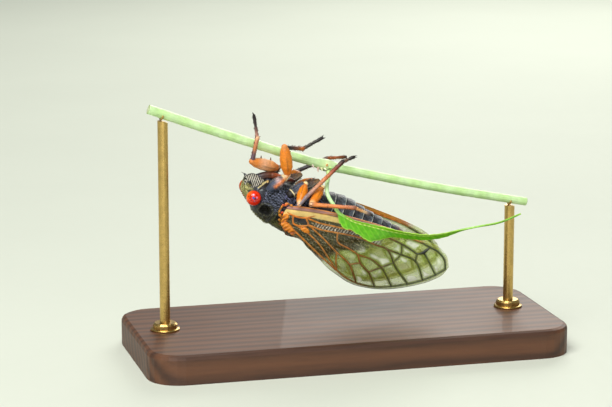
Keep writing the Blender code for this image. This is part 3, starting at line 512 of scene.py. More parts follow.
def head_skin(x, turn):
    """Axis + t (0, cos, sin): t is the soft largest of the trunk's oval, face, eye rims and feeler sockets."""
    front = np.sqrt(np.clip((x - FRONT[0]) / (FRONT[1] - FRONT[0]), 0, 1))
    core = np.maximum(x, FRONT[1])
    width, back, belly = np.moveaxis(between(TRUNK[:, 0], TRUNK[:, 1:], core), -1, 0)
    middle = (belly - back) / 2
    axis = middle + (0.45 - middle) * (1 - ease(core, 0.5, 1.1))
    oval = (1e6, np.maximum(width, 0.02) * 1.012, np.maximum((belly + back) / 2, 0.02) * 1.012)
    t = lobe(core, turn, axis, (core, 0.0, middle), oval)
    for side, _ in SIDES:
        rim = EYE_AT * (1, side, 1) + (0.12, -0.74 * side, 0)
        t = soft_most(t, lobe(core, turn, axis, rim, (1.1, 0.86, 1.16)), 0.2)
        socket = FEELER_ROOT * (1, side, 1) + np.array((0.25, -0.35 * side, -0.25))
        t = soft_most(t, lobe(core, turn, axis, socket, (0.55, 0.6, 0.55)), 0.15)
    t = soft_most(t, lobe(core, turn, axis, FACE_AT, FACE_RADII), 0.08)
    y, z = t * np.cos(turn), axis + t * np.sin(turn)
    reach = np.hypot((x - 1.78) / 1.5, y / 2.05)
    on_face = (1 - ease(reach, 0.93, 1.03)) * ease(z, 0.55, 0.8)
    ridge = np.cos(2 * math.pi * (0.72 * x + 0.1 * np.abs(y) + 0.69 * z) / RIDGE_STEP)
    flank = ease(np.abs(y), 0.12, 0.24)
    t = t + RIDGE_HEIGHT * ridge * on_face * flank + 0.12 * on_face * ease(x, 1.9, 2.6)
    t = t - 0.06 * ease(0.1 - np.abs(reach - 1.04), 0.0, 0.08) * ease(x, 0.9, 1.3)
    t = t - 0.07 * bell(y, 0.09) * on_face * (1 - ease(x, 2.6, 2.9))
    t = t * front
    points = np.stack([x + 0 * y, t * np.cos(turn), axis + t * np.sin(turn)], axis=-1)
    return points, on_face * flank, ridge


HEAD_LENGTH = 3.16
x = FRONT[0] + HEAD_LENGTH * np.linspace(0.0001, 1.0, 240)[:, None] ** 1.35
turn = turns(360)
head_points, on_face, ridge = head_skin(x + 0 * turn, turn + 0 * x)
speckle = waves(head_points, 3, 0.2)
dots = waves(head_points, 4, 0.1)
crown = (1 - ease(head_points[..., 2], 0.7, 1.4)) * (1 - ease(x + 0 * turn, 1.3, 2.0)) * (1 - on_face)
rim = near(head_points, EYE_AT * (1, -1, 1), 1.5) + near(head_points, EYE_AT, 1.5)
tint = layers(
    "101114", crown.shape,
    (0.35 + 0.35 * speckle, SLATE),
    (rim * (0.3 + 0.4 * dots), "5d6673"),
    (crown * (0.9 + 0.3 * speckle), "8a8648"),
    (crown * ease(dots, 0.0, 0.5) * 0.9, "cdc88c"),
    (crown * ease(-dots, 0.15, 0.55) * 0.9, "25220f"),
    (near_line(head_points, (1.55, 0.05), (1.85, 0.2), 0.3), "1d2b45"),
    (near_line(head_points, (2.5, 0.95), (2.9, 1.2), 0.16) * (0.6 + 0.4 * dots), "a7b0b4"),
    (near_line(head_points, *UNDER_BAR, 0.12), INK),
    (near_line(head_points, *CREAM_BAR, 0.07) * (0.8 + 0.5 * dots), "cdbd84"),
    (on_face, "141314"),
    (on_face * ease(ridge, -0.1, 0.45), "c6c2b4"),
)
shell_head = finish(
    "shell_head", grain=0.05, depth=0.012, mottle=0.3, patch=0.35, rough=(0.35, 0.6), spec=0.2, sheen="c9cc7c"
)
build("head_skin", [closed(head_points, tint=tint)], shell_head, ["head"])
fuzz = [
    down_coat(head_points, crown * (x < 2.0), 200, 0.16, GOLD_HAIR, 71),
    down_coat(head_points, (1 - on_face) * (1 - crown) * (x < 3.1), 300, 0.18, GREY_HAIR, 72),
]
build("head_down", fuzz, hair_shine)

# %% [markdown]
# ## Eyes
# A cicada's compound eye is a glossy bead of thousands of lenses. In the photograph it is a bright orange red, darker
# towards its rim, with a cluster of violet and pink spots facing the camera. In the tint the darkening towards the
# rim is painted shade and the pink spots are painted highlights, while the dark red and violet spots are the eye's
# own. The bead is a sphere whose poles lie across the head. Its spots are part of its tint, placed on the side that
# faces outward, so that they stay where they are when the view turns.


# %% The two compound eyes
DARK_SPOTS = ((0.3, -0.85), (-0.04, -0.5), (-0.35, -0.32), (0.28, -0.42), (-0.5, 0.1), (0.45, 0.5))


def eye(side):
    """Sphere: centre + R (sin p cos q, side cos p, sin p sin q), p from the outward pole."""
    p = np.linspace(0.02, math.pi * 0.86, 90)[:, None]
    q = turns(128) * -side
    facing = unit(np.stack([np.sin(p) * np.cos(q), side * np.cos(p) + 0 * q, np.sin(p) * np.sin(q)], axis=-1))
    center = EYE_AT * (1, side, 1)
    gaze = np.array((-0.317, side * 0.928, 0.196))
    up = np.array((-0.365, side * -0.31, 0.878))
    aside = np.array((0.875, side * 0.207, 0.437))

    def spot(u, v, reach):
        """A soft dot on the bead, u upward and v aside from the middle of the gaze."""
        angle = np.arccos(np.clip(facing @ unit(gaze + u * up + v * aside), -1, 1))
        return np.exp(-((angle / reach) ** 4))

    dark = sum(spot(u, v, 0.13) for u, v in DARK_SPOTS)
    tint = layers(
        "e62c02", facing.shape[:2],
        (ease(-(facing @ aside) + 0.4 * (facing @ up), 0.2, 1.0) * 0.75, "ff7a08"),
        # Painted shade: darker towards the rim of the bead, away from the line of sight.
        ((1 - ease(facing @ gaze, 0.1, 0.55)) * 0.55, "7a1004"),
        (0.9 * spot(-0.5, 0.25, 0.4), "c4140a"),
        (0.85 * dark, "7a1408"),
        (0.95 * spot(-0.12, 0.24, 0.17), "3c0a2a"),
        (1.2 * spot(0.0, 0.0, 0.17), "3a4a9c"),
        # Painted highlights: three pale pink spots round the violet one.
        (0.9 * spot(0.47, 0.03, 0.13), "d9a0c8"),
        (0.9 * spot(0.06, 0.5, 0.13), "d58ab0"),
        (0.6 * spot(-0.42, 0.14, 0.1), "c07a90"),
    )
    return closed(center + EYE_RADIUS * facing, tint=tint)


eye_glass = finish(
    "eye_glass", grain=0.05, depth=0.006, mottle=0.12, patch=0.25, rough=(0.12, 0.2), coat=0.35, spec=0.3
)
for side, label in SIDES:
    build("compound_eye_" + label, [eye(side)], eye_glass, ["eye_" + label])

# %% [markdown]
# ## Feelers, simple eyes and beak
# The feelers are short bristles on a two-part root. Three small red simple eyes sit in a triangle on
# the crown. The sucking beak lies back along the belly between the front legs. All three are tubes
# or beads whose radii step down at their joints, because a joint reads as a dark line in the light.

# %% Feelers, simple eyes and beak
shell_dark = finish("shell_dark", grain=0.05, depth=0.006, mottle=0.25, patch=0.3, rough=(0.3, 0.5), coat=0.15)
for side, label in SIDES:
    root, tip = FEELER_ROOT * (1, side, 1), FEELER_TIP * (1, side, 1)
    t = np.linspace(0, 1, 60)
    path = root - 0.15 * (tip - root) + (tip - root) * 1.15 * t[:, None]
    path[:, 2] += 0.1 * np.sin(math.pi * t)
    second, third = ease(t, 0.28, 0.3), ease(t, 0.46, 0.48)
    steps = 0.22 * (1 - second) + 0.13 * (second - third) + (0.07 - 0.04 * t) * third
    steps = steps * (1 + 0.1 * np.cos(2 * math.pi * t * 12) * ease(t, 0.55, 0.6))
    color = np.pad(stops(t, "0 3a3e48, 0.45 17181a, 0.7 1c1718, 1 4a2c1c"), ((4, 4), (0, 0)), mode="edge")
    feeler = tube(*rounded(path, steps), 14, tint=color)
    build("feeler_" + label, [feeler], shell_dark, ["antenna_" + label])

beads = []
for y, x_at in ((0.0, 0.9), (-0.42, 1.35), (0.42, 1.35)):
    spot, _, _ = head_skin(np.array([[x_at]]), np.array([[1.5 * math.pi + y / 1.4]]))
    p = np.linspace(0.05, 2.6, 14)[:, None]
    q = turns(20)
    ball = np.stack([np.sin(p) * np.cos(q), np.sin(p) * np.sin(q), -np.cos(p) + 0 * q], axis=-1)
    beads.append(closed(spot[0, 0] + 0.13 * ball[:, ::-1], tint=layers("c03a1c", ball.shape[:2])))
build("simple_eyes", beads, eye_glass)

BEAK_PATH = ((3.1, 0.0, 2.9), (4.5, 0.0, 3.4), (6.2, 0.0, 3.7), (8.0, 0.0, 3.95))
t, path = along(((2.3, 0.0, 2.2),) + BEAK_PATH, 70)
radii = np.interp(t, (0, 0.2, 0.5, 0.8, 1), (0.6, 0.56, 0.46, 0.36, 0.2))
radii = radii * (1 - 0.14 * bell(t - 0.34, 0.02) - 0.14 * bell(t - 0.66, 0.02))
color = stops(t, "0 3a3e48, 0.3 6b3f2a, 0.6 a8481a, 1 1c1718")
beak = tube(path, radii, 28, lean=(0, 1, 0), shape=lambda s, a: 1 - 0.12 * bell(a - math.pi / 2, 0.15), tint=color)
build("beak", [beak], shell_dark, ["rostrum"])

# %% [markdown]
# ## The collar and the thorax
# Behind the head lies the collar, a saddle with a rolled front edge, a raised hind band and a round
# hollow low on each side. The thorax behind it is a hard glossy box on the back, ending in a raised
# cross, and a set of hairy grey plates on the sides. Cutting real seams into one surface keeps the
# light running over it unbroken, so each seam here is a narrow dip in the lift from the trunk.


# %% The collar behind the head
def groove(d, width):
    """A narrow dip: minus e to the power minus (d / width) squared."""
    return -bell(d, width)


HOLLOW_AT = np.array((4.47, 3.85, -1.4))
COLLAR_FROM, COLLAR_TO = 3.22, 6.62
x = np.linspace(COLLAR_FROM, COLLAR_TO, 150)[:, None]
turn = turns(420)
plain = trunk(x, turn)
back = ease(-np.sin(turn), -0.15, 0.35)
lift = -0.55 * (1 - ease(x, COLLAR_FROM, 3.5)) + 0.1 * bell(x - 3.62, 0.16)
lift = lift + 0.16 * ease(x, 5.62, 5.85) * back - 0.75 * ease(x, 6.38, COLLAR_TO)
lift = lift + 0.13 * groove(x - 5.6, 0.1) * back
slant = np.abs(np.cos(turn)) * 1.9
lift = (
    lift + 0.12 * groove(x - 4.0 - 0.55 * slant * back, 0.12) * back
    + 0.1 * groove(x - 5.15 + 0.35 * slant, 0.1) * back
)
lift = lift + 0.05 * groove(np.cos(turn), 0.03) * back
bowl = np.minimum(*(np.linalg.norm(plain - HOLLOW_AT * (1, side, 1), axis=-1) for side, _ in SIDES))
lift = lift - 0.42 * (1 - ease(bowl, 0.4, 1.05)) + 0.07 * bell(bowl - 1.16, 0.12)
lift = lift + 0.05 * np.cos(bowl * 2 * math.pi / 0.34) * (1 - ease(bowl, 0.8, 1.1)) + 0.03 * waves(plain, 5, 0.3)
collar = trunk(x, turn, lift)
speckle = waves(collar, 6, 0.2)
dots = waves(collar, 16, 0.085)
side_mask = 1 - back
tint = layers(
    "101114", lift.shape,
    (0.25 + 0.3 * speckle, SLATE),
    (ease(dots, 0.3, 0.8) * 0.7 * back, "6c6a48"),
    (0.7 * bell(x - 6.3, 0.14) * back * (0.6 + 0.4 * speckle), MOSS),
    (side_mask * (0.3 + 0.5 * speckle), "343c4e"),
    (side_mask * ease(dots + 0.8 * speckle, 0.4, 1.0) * 0.8, "8a90ac"),
    (side_mask * ease(-dots, 0.2, 0.6) * 0.8, "0e1118"),
    (1 - ease(bowl, 0.85, 1.05), "060606"),
    (ease(dots, 0.2, 0.7) * (1 - ease(bowl, 0.4, 0.95)) * 0.5, "2c281a"),
    (0.5 * bell(bowl - 1.2, 0.1) * (0.6 + 0.4 * speckle), "6d6c48"),
    (near_line(collar, *UNDER_BAR, 0.14), INK),
    (near_line(collar, *CREAM_BAR, 0.08) * (0.8 + 0.4 * dots), "dcb870"),
)
build("collar", [closed(collar, tint=tint)], shell_head, ["pronotum"])
ready = ease(x, 3.55, 3.8) * (1 - ease(x, 6.15, 6.3)) * ease(bowl, 1.05, 1.2)
fuzz = [
    down_coat(collar, side_mask * ready * ease(speckle, -0.3, 0.4), 500, 0.2, GREY_HAIR, 73),
    down_coat(collar, back * ready * ease(-np.sin(turn), 0.8, 0.95), 500, 0.2, GOLD_HAIR, 74, 0.3),
]
build("collar_down", fuzz, hair_shine)

# %% [markdown]
# ## The thorax
# The thorax holds the wing muscles. Its back is one smooth black shield with four faint furrows and a
# raised cross at its end, and its sides are downy grey plates with seams between them. The seams
# slant, so each is a groove along a line in x and z. The cross is a ridge where the distance from the
# midline follows the distance from the cross's centre, which draws all four arms at once.

# %% The thorax with its side plates and its cross
THORAX_FROM, THORAX_TO = 6.25, 13.15
CROSS_AT = 11.0
x = np.linspace(THORAX_FROM, THORAX_TO, 240)[:, None]
turn = turns(400)
plain = trunk(x, turn)
back = ease(-np.sin(turn), -0.1, 0.3)
flank = (1 - back) * ease(np.abs(np.cos(turn)), 0.2, 0.45)
z = plain[..., 2]
y = plain[..., 1]
lift = -0.5 * (1 - ease(x, THORAX_FROM, 6.5)) - 0.5 * ease(x, 12.8, THORAX_TO)
seams = groove(x - 7.9 - 0.35 * z, 0.09) + groove(x - 9.1 - 0.3 * z, 0.09) + groove(x - 10.6 - 0.35 * z, 0.1)
seams = seams + groove(z - 0.35 - 0.1 * (x - 8), 0.08) * ease(x, 7.0, 7.5)
puff = 0.1 * np.cos((x - 8.5 - 0.33 * z) * 2 * math.pi / 1.25) * np.cos((z - 0.9) * 2.0)
lift = lift + flank * (0.2 * seams + puff)
lift = lift + 0.06 * groove(np.abs(y) - 1.3 - 0.22 * (x - 7), 0.06) * back * (1 - ease(x, 10.0, 10.6))
lift = lift + 0.06 * groove(np.abs(y) - 0.55 - 0.1 * (x - 7), 0.05) * back * (1 - ease(x, 9.4, 10.0))
cross = bell(np.abs(y) - 1.15 * np.abs(x - CROSS_AT) - 0.12, 0.32) * (1 - ease(np.abs(x - CROSS_AT), 1.0, 1.5))
lift = (
    lift + 0.28 * cross * back + 0.1 * back * (1 - ease(np.hypot(x - CROSS_AT, y), 0.3, 1.0))
    + 0.012 * waves(plain, 8, 0.3)
)
thorax = trunk(x, turn, lift)
speckle = waves(thorax, 9, 0.2)
dots = waves(thorax, 17, 0.085)
hem = bell(z + 2.7, 0.6) * ease(np.abs(y), 1.5, 2.6)
tint = layers(
    BLACK, lift.shape,
    (flank * (0.3 + 0.5 * speckle), "343c4e"),
    (flank * ease(dots + 0.8 * speckle, 0.4, 1.0) * 0.8, "8688b4"),
    (flank * ease(-dots, 0.2, 0.6) * 0.8, "0e1118"),
    (flank * np.clip(-seams, 0, 1) * 0.9, BLACK),
    (0.55 * hem * back * (0.6 + 0.4 * speckle), MOSS),
    (0.7 * cross * back * ease(np.hypot(x - CROSS_AT, y), 0.5, 1.3), RUST),
    ((1 - back) * (1 - flank) * 0.6, SLATE),
)
shell_thorax = finish(
    "shell_thorax", grain=0.06, depth=0.01, mottle=0.3, patch=0.4, rough=(0.3, 0.6), spec=0.2, sheen="b9bd78"
)
build("thorax", [closed(thorax, tint=tint)], shell_thorax, ["mesothorax"])
ready = ease(x, 6.6, 6.8) * (1 - ease(x, 12.4, 12.7)) + 0 * turn
fuzz = [
    down_coat(thorax, flank * ready * ease(speckle, -0.3, 0.4), 600, 0.2, GREY_HAIR, 75),
    down_coat(thorax, hem * back * ready, 900, 0.3, GOLD_HAIR, 76, 0.4),
]
build("thorax_down", fuzz, hair_shine)

# %% [markdown]
# ## The abdomen
# Each ring of the abdomen slides under the one in front of it, so its outline rises slowly and then
# drops in a step. Here the lift is a saw tooth of the place along the body, softened at its corners.
# A thin pale line follows each hind edge, and a fold runs along each flank, where the plates of the
# back meet those of the belly. The last ring narrows to a rusty cone with a slit for the egg tube.

# %% The abdomen's sliding rings
RING_EDGES = np.array((12.9, 14.75, 16.5, 18.25, 20.0, 21.75, 23.45, 25.2, 26.8, 28.15))
ABDOMEN_FROM, ABDOMEN_TO = 12.75, 28.18
x = np.linspace(ABDOMEN_FROM, ABDOMEN_TO, 520)[:, None]
turn = turns(176)
bent = x + 0.16 * np.cos(2 * turn)
ring = np.clip(np.searchsorted(RING_EDGES, bent, side="right") - 1, 0, 8)
share = (bent - RING_EDGES[ring]) / (RING_EDGES[ring + 1] - RING_EDGES[ring])
lift = 0.2 * share - 0.2 - 0.3 * ease(share, 0.93, 1.0) * (ring < 8)
lift = lift - 0.22 * (1 - ease(share, 0.0, 0.1)) * (ring > 0) - 0.5 * (1 - ease(x, ABDOMEN_FROM, 13.0))
fold = groove(np.sin(turn) - 0.28, 0.05) + groove(np.sin(turn) + 0.12, 0.05)
lift = (
    lift + 0.12 * fold * (1 - ease(x, 25.0, 26.5))
    + 0.05 * groove(np.cos(turn), 0.05) * ease(np.sin(turn), 0, 0.5) * ease(x, 22.0, 24.0)
)
plain = trunk(x, turn)
lift = lift + 0.018 * waves(plain, 11, 0.35)
scale = np.clip(between(TRUNK[:, 0], TRUNK[:, 1], x) / 1.2, 0.15, 1.0)
abdomen = trunk(x, turn, lift * scale)
speckle = waves(abdomen, 12, 0.25)
edge = ease(share, 0.86, 0.91) * (1 - ease(share, 0.95, 0.99))
belly = ease(np.sin(turn), 0.35, 0.7)
tip = ease(x + 0 * turn, 25.6, 27.2)
tint = layers(
    BLACK, lift.shape,
    (0.45 + 0.25 * speckle, SLATE),
    (belly * (0.4 + 0.3 * speckle), "4b4a50"),
    (0.75 * ease(share, 0.35, 0.9) * (ring < 8) * ease(x, 14.0, 16.5) * (0.7 + 0.5 * speckle), "6c7680"),
    (0.9 * edge * (ring < 8) * (0.75 + 0.25 * speckle), "d4d6d0"),
    (0.85 * tip, "5a2c1c"),
    (tip * edge * 0.5, RUST),
)
shell_abdomen = finish("shell_abdomen", grain=0.05, depth=0.01, mottle=0.3, patch=0.3, rough=(0.3, 0.5), spec=0.25)
build("abdomen_skin", [closed(abdomen, tint=tint)], shell_abdomen, ["abdomen"])
fuzz = [down_coat(abdomen, ease(x, 13.2, 13.6) * (1 - edge) + 0 * turn, 500, 0.12, GREY_HAIR, 77, 1.2)]
build("abdomen_down", fuzz, hair_shine)

# %% [markdown]
# ## The legs
# Each leg has the same four lengths: a stout hip block, a thigh, a shin and a foot of three small
# joints with two claws. A table gives the joints' places, measured from the pose. Every length is a
# tube with its own profile of radii and its own run of colours, from a few named stops. The ends are
# round and sink into each other like the real ball joints, so that a bent knee shows no gap.

# %% Joints and profiles of the legs
LEGS = {
    "front_right": ((4.1, -2.6, 1.9), (5.8, -2.05, 4.75), (3.15, -2.7, 8.7), (6.75, -0.1, 9.1), (9.0, 0.6, 11.7)),
    "front_left": ((4.2, 2.5, 2.0), (5.0, 1.5, 4.5), (0.1, -0.8, 4.3), (-0.75, -0.5, 8.0), (-2.6, 0.1, 10.85)),
    "middle_right": ((7.3, -2.8, 2.3), (8.95, -2.1, 4.5), (8.48, -5.2, 1.95), (13.14, -1.2, 9.9), (14.5, -0.9, 11.2)),
    "middle_left": ((7.3, 2.7, 2.4), (8.9, 2.1, 4.6), (8.3, 4.4, 3.9), (12.2, 3.35, 8.6), (13.9, 0.9, 10.35)),
    "hind_right": ((10.6, -2.0, 3.4), (11.8, -1.7, 4.9), (10.25, -5.3, 2.62), (16.2, -7.0, 5.1), (18.9, -7.5, 5.2)),
    "hind_left": ((10.6, 2.0, 3.4), (11.8, 1.7, 4.9), (10.3, 5.3, 2.5), (16.8, 6.7, 2.2), (19.4, 6.9, 1.5)),
}
HIP = ((0.0, 0.2, 0.55, 0.85, 1.0), (0.75, 0.9, 0.86, 0.68, 0.5))
THIGH_AT = (0, 0.08, 0.3, 0.6, 0.85, 0.95, 1)
THIGH = {
    "front": (THIGH_AT, (0.4, 0.6, 0.96, 0.98, 0.8, 0.62, 0.5)),
    "middle": (THIGH_AT, (0.34, 0.5, 0.76, 0.78, 0.6, 0.46, 0.38)),
    "hind": (THIGH_AT, (0.34, 0.5, 0.74, 0.76, 0.58, 0.45, 0.38)),
}
SHIN = ((0, 0.05, 0.12, 0.5, 0.88, 0.96, 1), (0.38, 0.42, 0.34, 0.31, 0.32, 0.37, 0.34))
FOOT = (
    (0, 0.05, 0.2, 0.24, 0.27, 0.45, 0.5, 0.54, 0.85, 1),
    (0.24, 0.28, 0.3, 0.19, 0.26, 0.29, 0.19, 0.23, 0.3, 0.25),
)
print("thigh of a front leg", round(float(np.linalg.norm(np.subtract(*LEGS["front_right"][1:3]))), 2), "mm long")


# %% [markdown]
# ## One length of a leg
# A real leg length is a tube of shell, a little square in section, with fine bristles and a few strong
# spurs. The tube follows a radius profile, smoothed so that no ring shows as an edge. Bristles are
# spikes of three sides set at random round it, and spurs and claws are thorns that curve. They are
# mesh instead of hair strands, because mesh keeps its shape wherever the model goes.

# %% One length of a leg, its bristles and its claws
def limb(start, end, profile, colors, flat=0.85, lean=(0.2, 1.0, 0.3), rows=60, sides=36,
         keel=0.05, streaks=0.0, under=None):
    """Tube from joint to joint: radius = profile (1 + keel cos 4 t), colour by stops, dark streaks and a band along
    one side, which is the hem on a hip and a painted highlight on a thigh.
    """
    t = np.linspace(0.0, 1.0, rows)
    path = start + (end - start) * t[:, None]
    radii = np.interp(t, *profile)
    radii = np.convolve(np.pad(radii, 2, mode="edge"), np.ones(5) / 5, mode="valid")
    path, radii = rounded(path, radii, 5)
    share = np.concatenate([np.zeros(5), t, np.ones(5)])
    color = np.broadcast_to(stops(share, colors)[:, None], (len(path), sides, 3))
    turn = np.arange(sides) * 2 * math.pi / sides
    # The band along one side is the hem on a hip and a painted highlight on a thigh.
    if under is not None:
        angle, spread, coat, strength = under
        mask = (
            strength * bell(np.angle(np.exp(1j * (turn - angle))), spread)[None, :] * ease(share, 0.05, 0.2)[:, None]
        )
        color = over(color, mask, coat)
    lines = (
        np.maximum(np.cos(3 * turn + 0.6), 0)[None, :] ** 14 * ease(share, 0.12, 0.25)[:, None]
        * (1 - ease(share, 0.55, 0.8))[:, None]
    )
    color = color * (1 - streaks * lines[..., None])
    made = tube(
        path, radii, sides, flat, lean, shape=lambda s, a: 1 + keel * np.cos(4 * a) + 0.015 * np.sin(37 * s + 5 * a)
    )
    made["marks"]["tint"] = np.concatenate([color.reshape(-1, 3), color[0, :1], color[-1, :1]])
    return made


def thorn(root, way, length, radius, color, curl=(0, 0, 0), rows=9, sides=8):
    """A curved spike: root + way s L + curl s2 L, with a radius that shrinks to a point."""
    s = np.linspace(0, 1, rows)
    path = (
        np.asarray(root) + unit(np.asarray(way, float)) * (s * length)[:, None]
        + np.asarray(curl) * (s**2 * length)[:, None]
    )
    radii = radius * (1 - s) ** 0.7 + 0.012
    return tube(path, radii, sides, lean=(0.3, 0.9, 0.2), tint=np.broadcast_to(paint(color), (rows, 3)))


BRISTLE_RADIUS = 0.022


def down(start, end, profile, count, seed, length, color):
    """Short bristles set round a length, leaning towards its end: many small thorns of few faces."""
    maker = np.random.default_rng(seed)
    ahead = unit(end - start)
    side = unit(np.cross(ahead, (0.2, 1.0, 0.3)))
    other = np.cross(ahead, side)
    made = []
    places, angles = maker.uniform(0.06, 0.97, count), maker.uniform(0, 2 * math.pi, count)
    for t, a, size in zip(places, angles, maker.uniform(0.6, 1.2, count)):
        out = side * math.cos(a) + other * math.sin(a)
        root = start + (end - start) * t + out * np.interp(t, *profile) * 0.85
        made.append(thorn(root, out + ahead, length * size, BRISTLE_RADIUS, color, rows=3, sides=3))
    return made


# %% [markdown]
# ## Colours of the legs
# The thighs are bright orange with fine dark streaks and a painted highlight along one side. The shins start dark at
# the knee, warm to orange and end red brown. The hips are a bluish grey with a cream knee plate or an orange edge.
# Each leg of the photograph differs a little, because of the light on it, so each has its own short table of stops,
# and some pale pink and peach stops in the middle of a length are painted highlights.

# %% Colour stops for each leg
# Painted highlights: the pink 0.5 stop of the grey hip, the peach middle of the front left thigh and the pink grey
# middle of the middle right shin.
GREY_HIP = "0 343c4e, 0.3 4c5468, 0.5 c0a4a4, 0.62 7a6464, 0.7 6a5450, 0.78 ecd8a4, 1 eadcb8"
BLUE_HIP = (
    "0 1c1718, 0.06 1c1718, 0.09 d8ca98, 0.12 d8ca98, 0.15 181c28, 0.35 2c3448, 0.75 4c5878, 0.94 3a3640, 1 f0d49a"
)
BROWN_HIP = "0 1c1718, 0.3 3a2c22, 0.7 5a4030, 1 7a5c3c"
THIGH_COLORS = "0 8a4a18, 0.08 e07a1c, 0.5 e8860e, 0.85 dc7a1c, 0.94 e8b070, 1 eeb98c"
LEG_COLORS = {
    "front_right": (GREY_HIP, "0 a8481a, 0.1 e07a1c, 0.5 ee8a1e, 0.9 e98425, 1 d98a4a",
                    "0 1c1718, 0.35 2a2428, 0.6 7a4630, 0.85 c06a24, 1 b25a1c",
                    "0 8a4a20, 0.15 3a342a, 0.5 24241e, 1 1c1718"),
    "front_left": (BROWN_HIP, "0 a8481a, 0.12 e07c1c, 0.35 e8a060, 0.65 ecb48c, 0.9 dc8436, 1 d5803a",
                   "0 5a4a5a, 0.3 6e5560, 0.55 c07a48, 0.85 d99070, 1 eeb98c",
                   "0 d39a88, 0.3 8a6058, 0.55 3c3034, 1 1c1718"),
    "middle_right": (BLUE_HIP, THIGH_COLORS,
                     "0 8a8088, 0.12 7d7078, 0.4 c88a66, 0.6 c8703a, 0.78 8a3a20, 1 1c1718",
                     "0 4a4038, 0.3 6a4a30, 0.6 1c1718, 1 1c1718"),
    "middle_left": (BROWN_HIP, THIGH_COLORS,
                    "0 3a3e48, 0.5 3a343c, 1 5a3a2c",
                    "0 8a4a28, 0.5 9a5228, 1 4a2c1c"),
    "hind_right": (BLUE_HIP, THIGH_COLORS,
                   "0 8a5a40, 0.1 d9823c, 0.6 d5783a, 0.9 b5683c, 1 8a5238",
                   "0 c8905a, 0.35 c98a50, 0.55 d8b080, 0.8 6a5a58, 1 1c1718"),
    "hind_left": (BROWN_HIP, THIGH_COLORS,
                  "0 8a5a40, 0.1 d9823c, 0.6 d5783a, 1 b5683c",
                  "0 c8905a, 0.5 b07a48, 1 1c1718"),
}
leg_shell = finish(
    "leg_shell", grain=0.05, depth=0.008, mottle=0.18, patch=0.22, rough=(0.3, 0.5), coat=0.1, spec=0.35
)
hip_shell = finish("hip_shell", grain=0.05, depth=0.012, mottle=0.3, patch=0.25, rough=(0.35, 0.6), spec=0.3)

# %% [markdown]
# ## Six legs from the table
# One loop builds four meshes for each leg, because hip, thigh, shin and foot differ in colour and
# finish. Spurs must know which way the knee bends, and two cross products tell it: the first is square
# to the plane of thigh and shin, and the second lies in that plane, across the thigh. So each leg has
# its spurs in the right place, whatever its pose.

# %% Six legs from the table
for count, (label, joints) in enumerate(LEGS.items()):
    pair = label.split("_")[0]
    root, hip, knee, ankle, toe = (np.array(joint) for joint in joints)
    hip_colors, thigh_colors, shin_colors, foot_colors = LEG_COLORS[label]
    name = "leg_" + label
    hem = (math.pi * 0.5, 0.45, ORANGE, 0.75) if label == "front_right" else (math.pi * 0.5, 0.22, "b8b2a4", 0.5)
    parts = [limb(root, hip, HIP, hip_colors, 0.82, rows=70, sides=48, keel=0.04, under=hem)]
    parts += down(root, hip, HIP, 150, 40 + count, 0.3, "8a8a86")
    build(name + "_hip", parts, hip_shell, [name + "_coxa"])

    thigh = THIGH[pair]
    bend = np.cross(knee - hip, ankle - knee)
    out = unit(np.cross(bend, knee - hip))
    # Painted highlight: a pale peach band along one side of each thigh.
    thigh_highlight = (math.pi * 1.2, 0.4, PEACH_HIGHLIGHT, 0.45)
    parts = [limb(hip, knee, thigh, thigh_colors, 0.95, rows=80, sides=44, keel=0.02, streaks=0.5, under=thigh_highlight)]
    if pair == "front":
        ahead = unit(knee - hip)
        for t, size in ((0.35, 1.0), (0.72, 0.85)):
            spot = hip + (knee - hip) * t + out * 0.75
            way = out * 1.1 + ahead * 0.2
            parts.append(thorn(spot, way, 0.62 * size, 0.14, "6a4018", curl=ahead * 0.12, rows=14, sides=14))
    parts += down(hip, knee, thigh, 60, 60 + count, 0.22, "b9803c")
    build(name + "_thigh", parts, leg_shell, [name + "_femur"])

    shin = unit(ankle - knee)
    lean = np.cross(shin, unit(bend))
    parts = [limb(knee, ankle, SHIN, shin_colors, 0.95, rows=70, sides=32, keel=0.05)]
    for s in (-0.75, 0.75):
        spot = ankle - shin * 0.2 + lean * s * 0.2
        parts.append(thorn(spot, shin + lean * s, 0.62, 0.11, "6a3418", rows=10, sides=10))
    for t, s in ((0.35, 1), (0.55, -1), (0.75, 1)):
        spot = knee + (ankle - knee) * t + lean * s * 0.2
        parts.append(thorn(spot, shin + lean * s * 0.9, 0.42, 0.06, "4a2c1c", rows=8, sides=8))
    parts += down(knee, ankle, SHIN, 130, 80 + count, 0.24, "6a5040")
    build(name + "_shin", parts, leg_shell, [name + "_tibia"])

    foot = unit(toe - ankle)
    wide = unit(np.cross(foot, shin) if abs(foot @ shin) < 0.98 else bend)
    parts = [limb(ankle, toe, FOOT, foot_colors, 0.9, rows=90, sides=28, keel=0.02)]
    for s in (-1, 1):
        curl = -wide * s * 0.35 + np.cross(foot, wide) * 0.3
        spot = toe + wide * 0.1 * s
        parts.append(thorn(spot, foot + wide * s * 0.75, 0.62, 0.1, INK, curl=curl, rows=14, sides=10))
    parts += down(ankle, toe, FOOT, 70, 100 + count, 0.2, "5a4a40")
    build(name + "_foot", parts, leg_shell, [name + "_tarsus"])

# %% [markdown]
# ## The wings
# Folded wings stand over the body like a roof. A wing is mapped by two lengths: a along its front
# edge and b across it. Three tables give its slope, height and span at each a, and a low arch gives it
# camber. The membrane is clear with a straw green tinge, so it is a closed shell a twentieth of a
# millimetre thick whose cover attribute says how much light it stops. Veins are separate tubes.

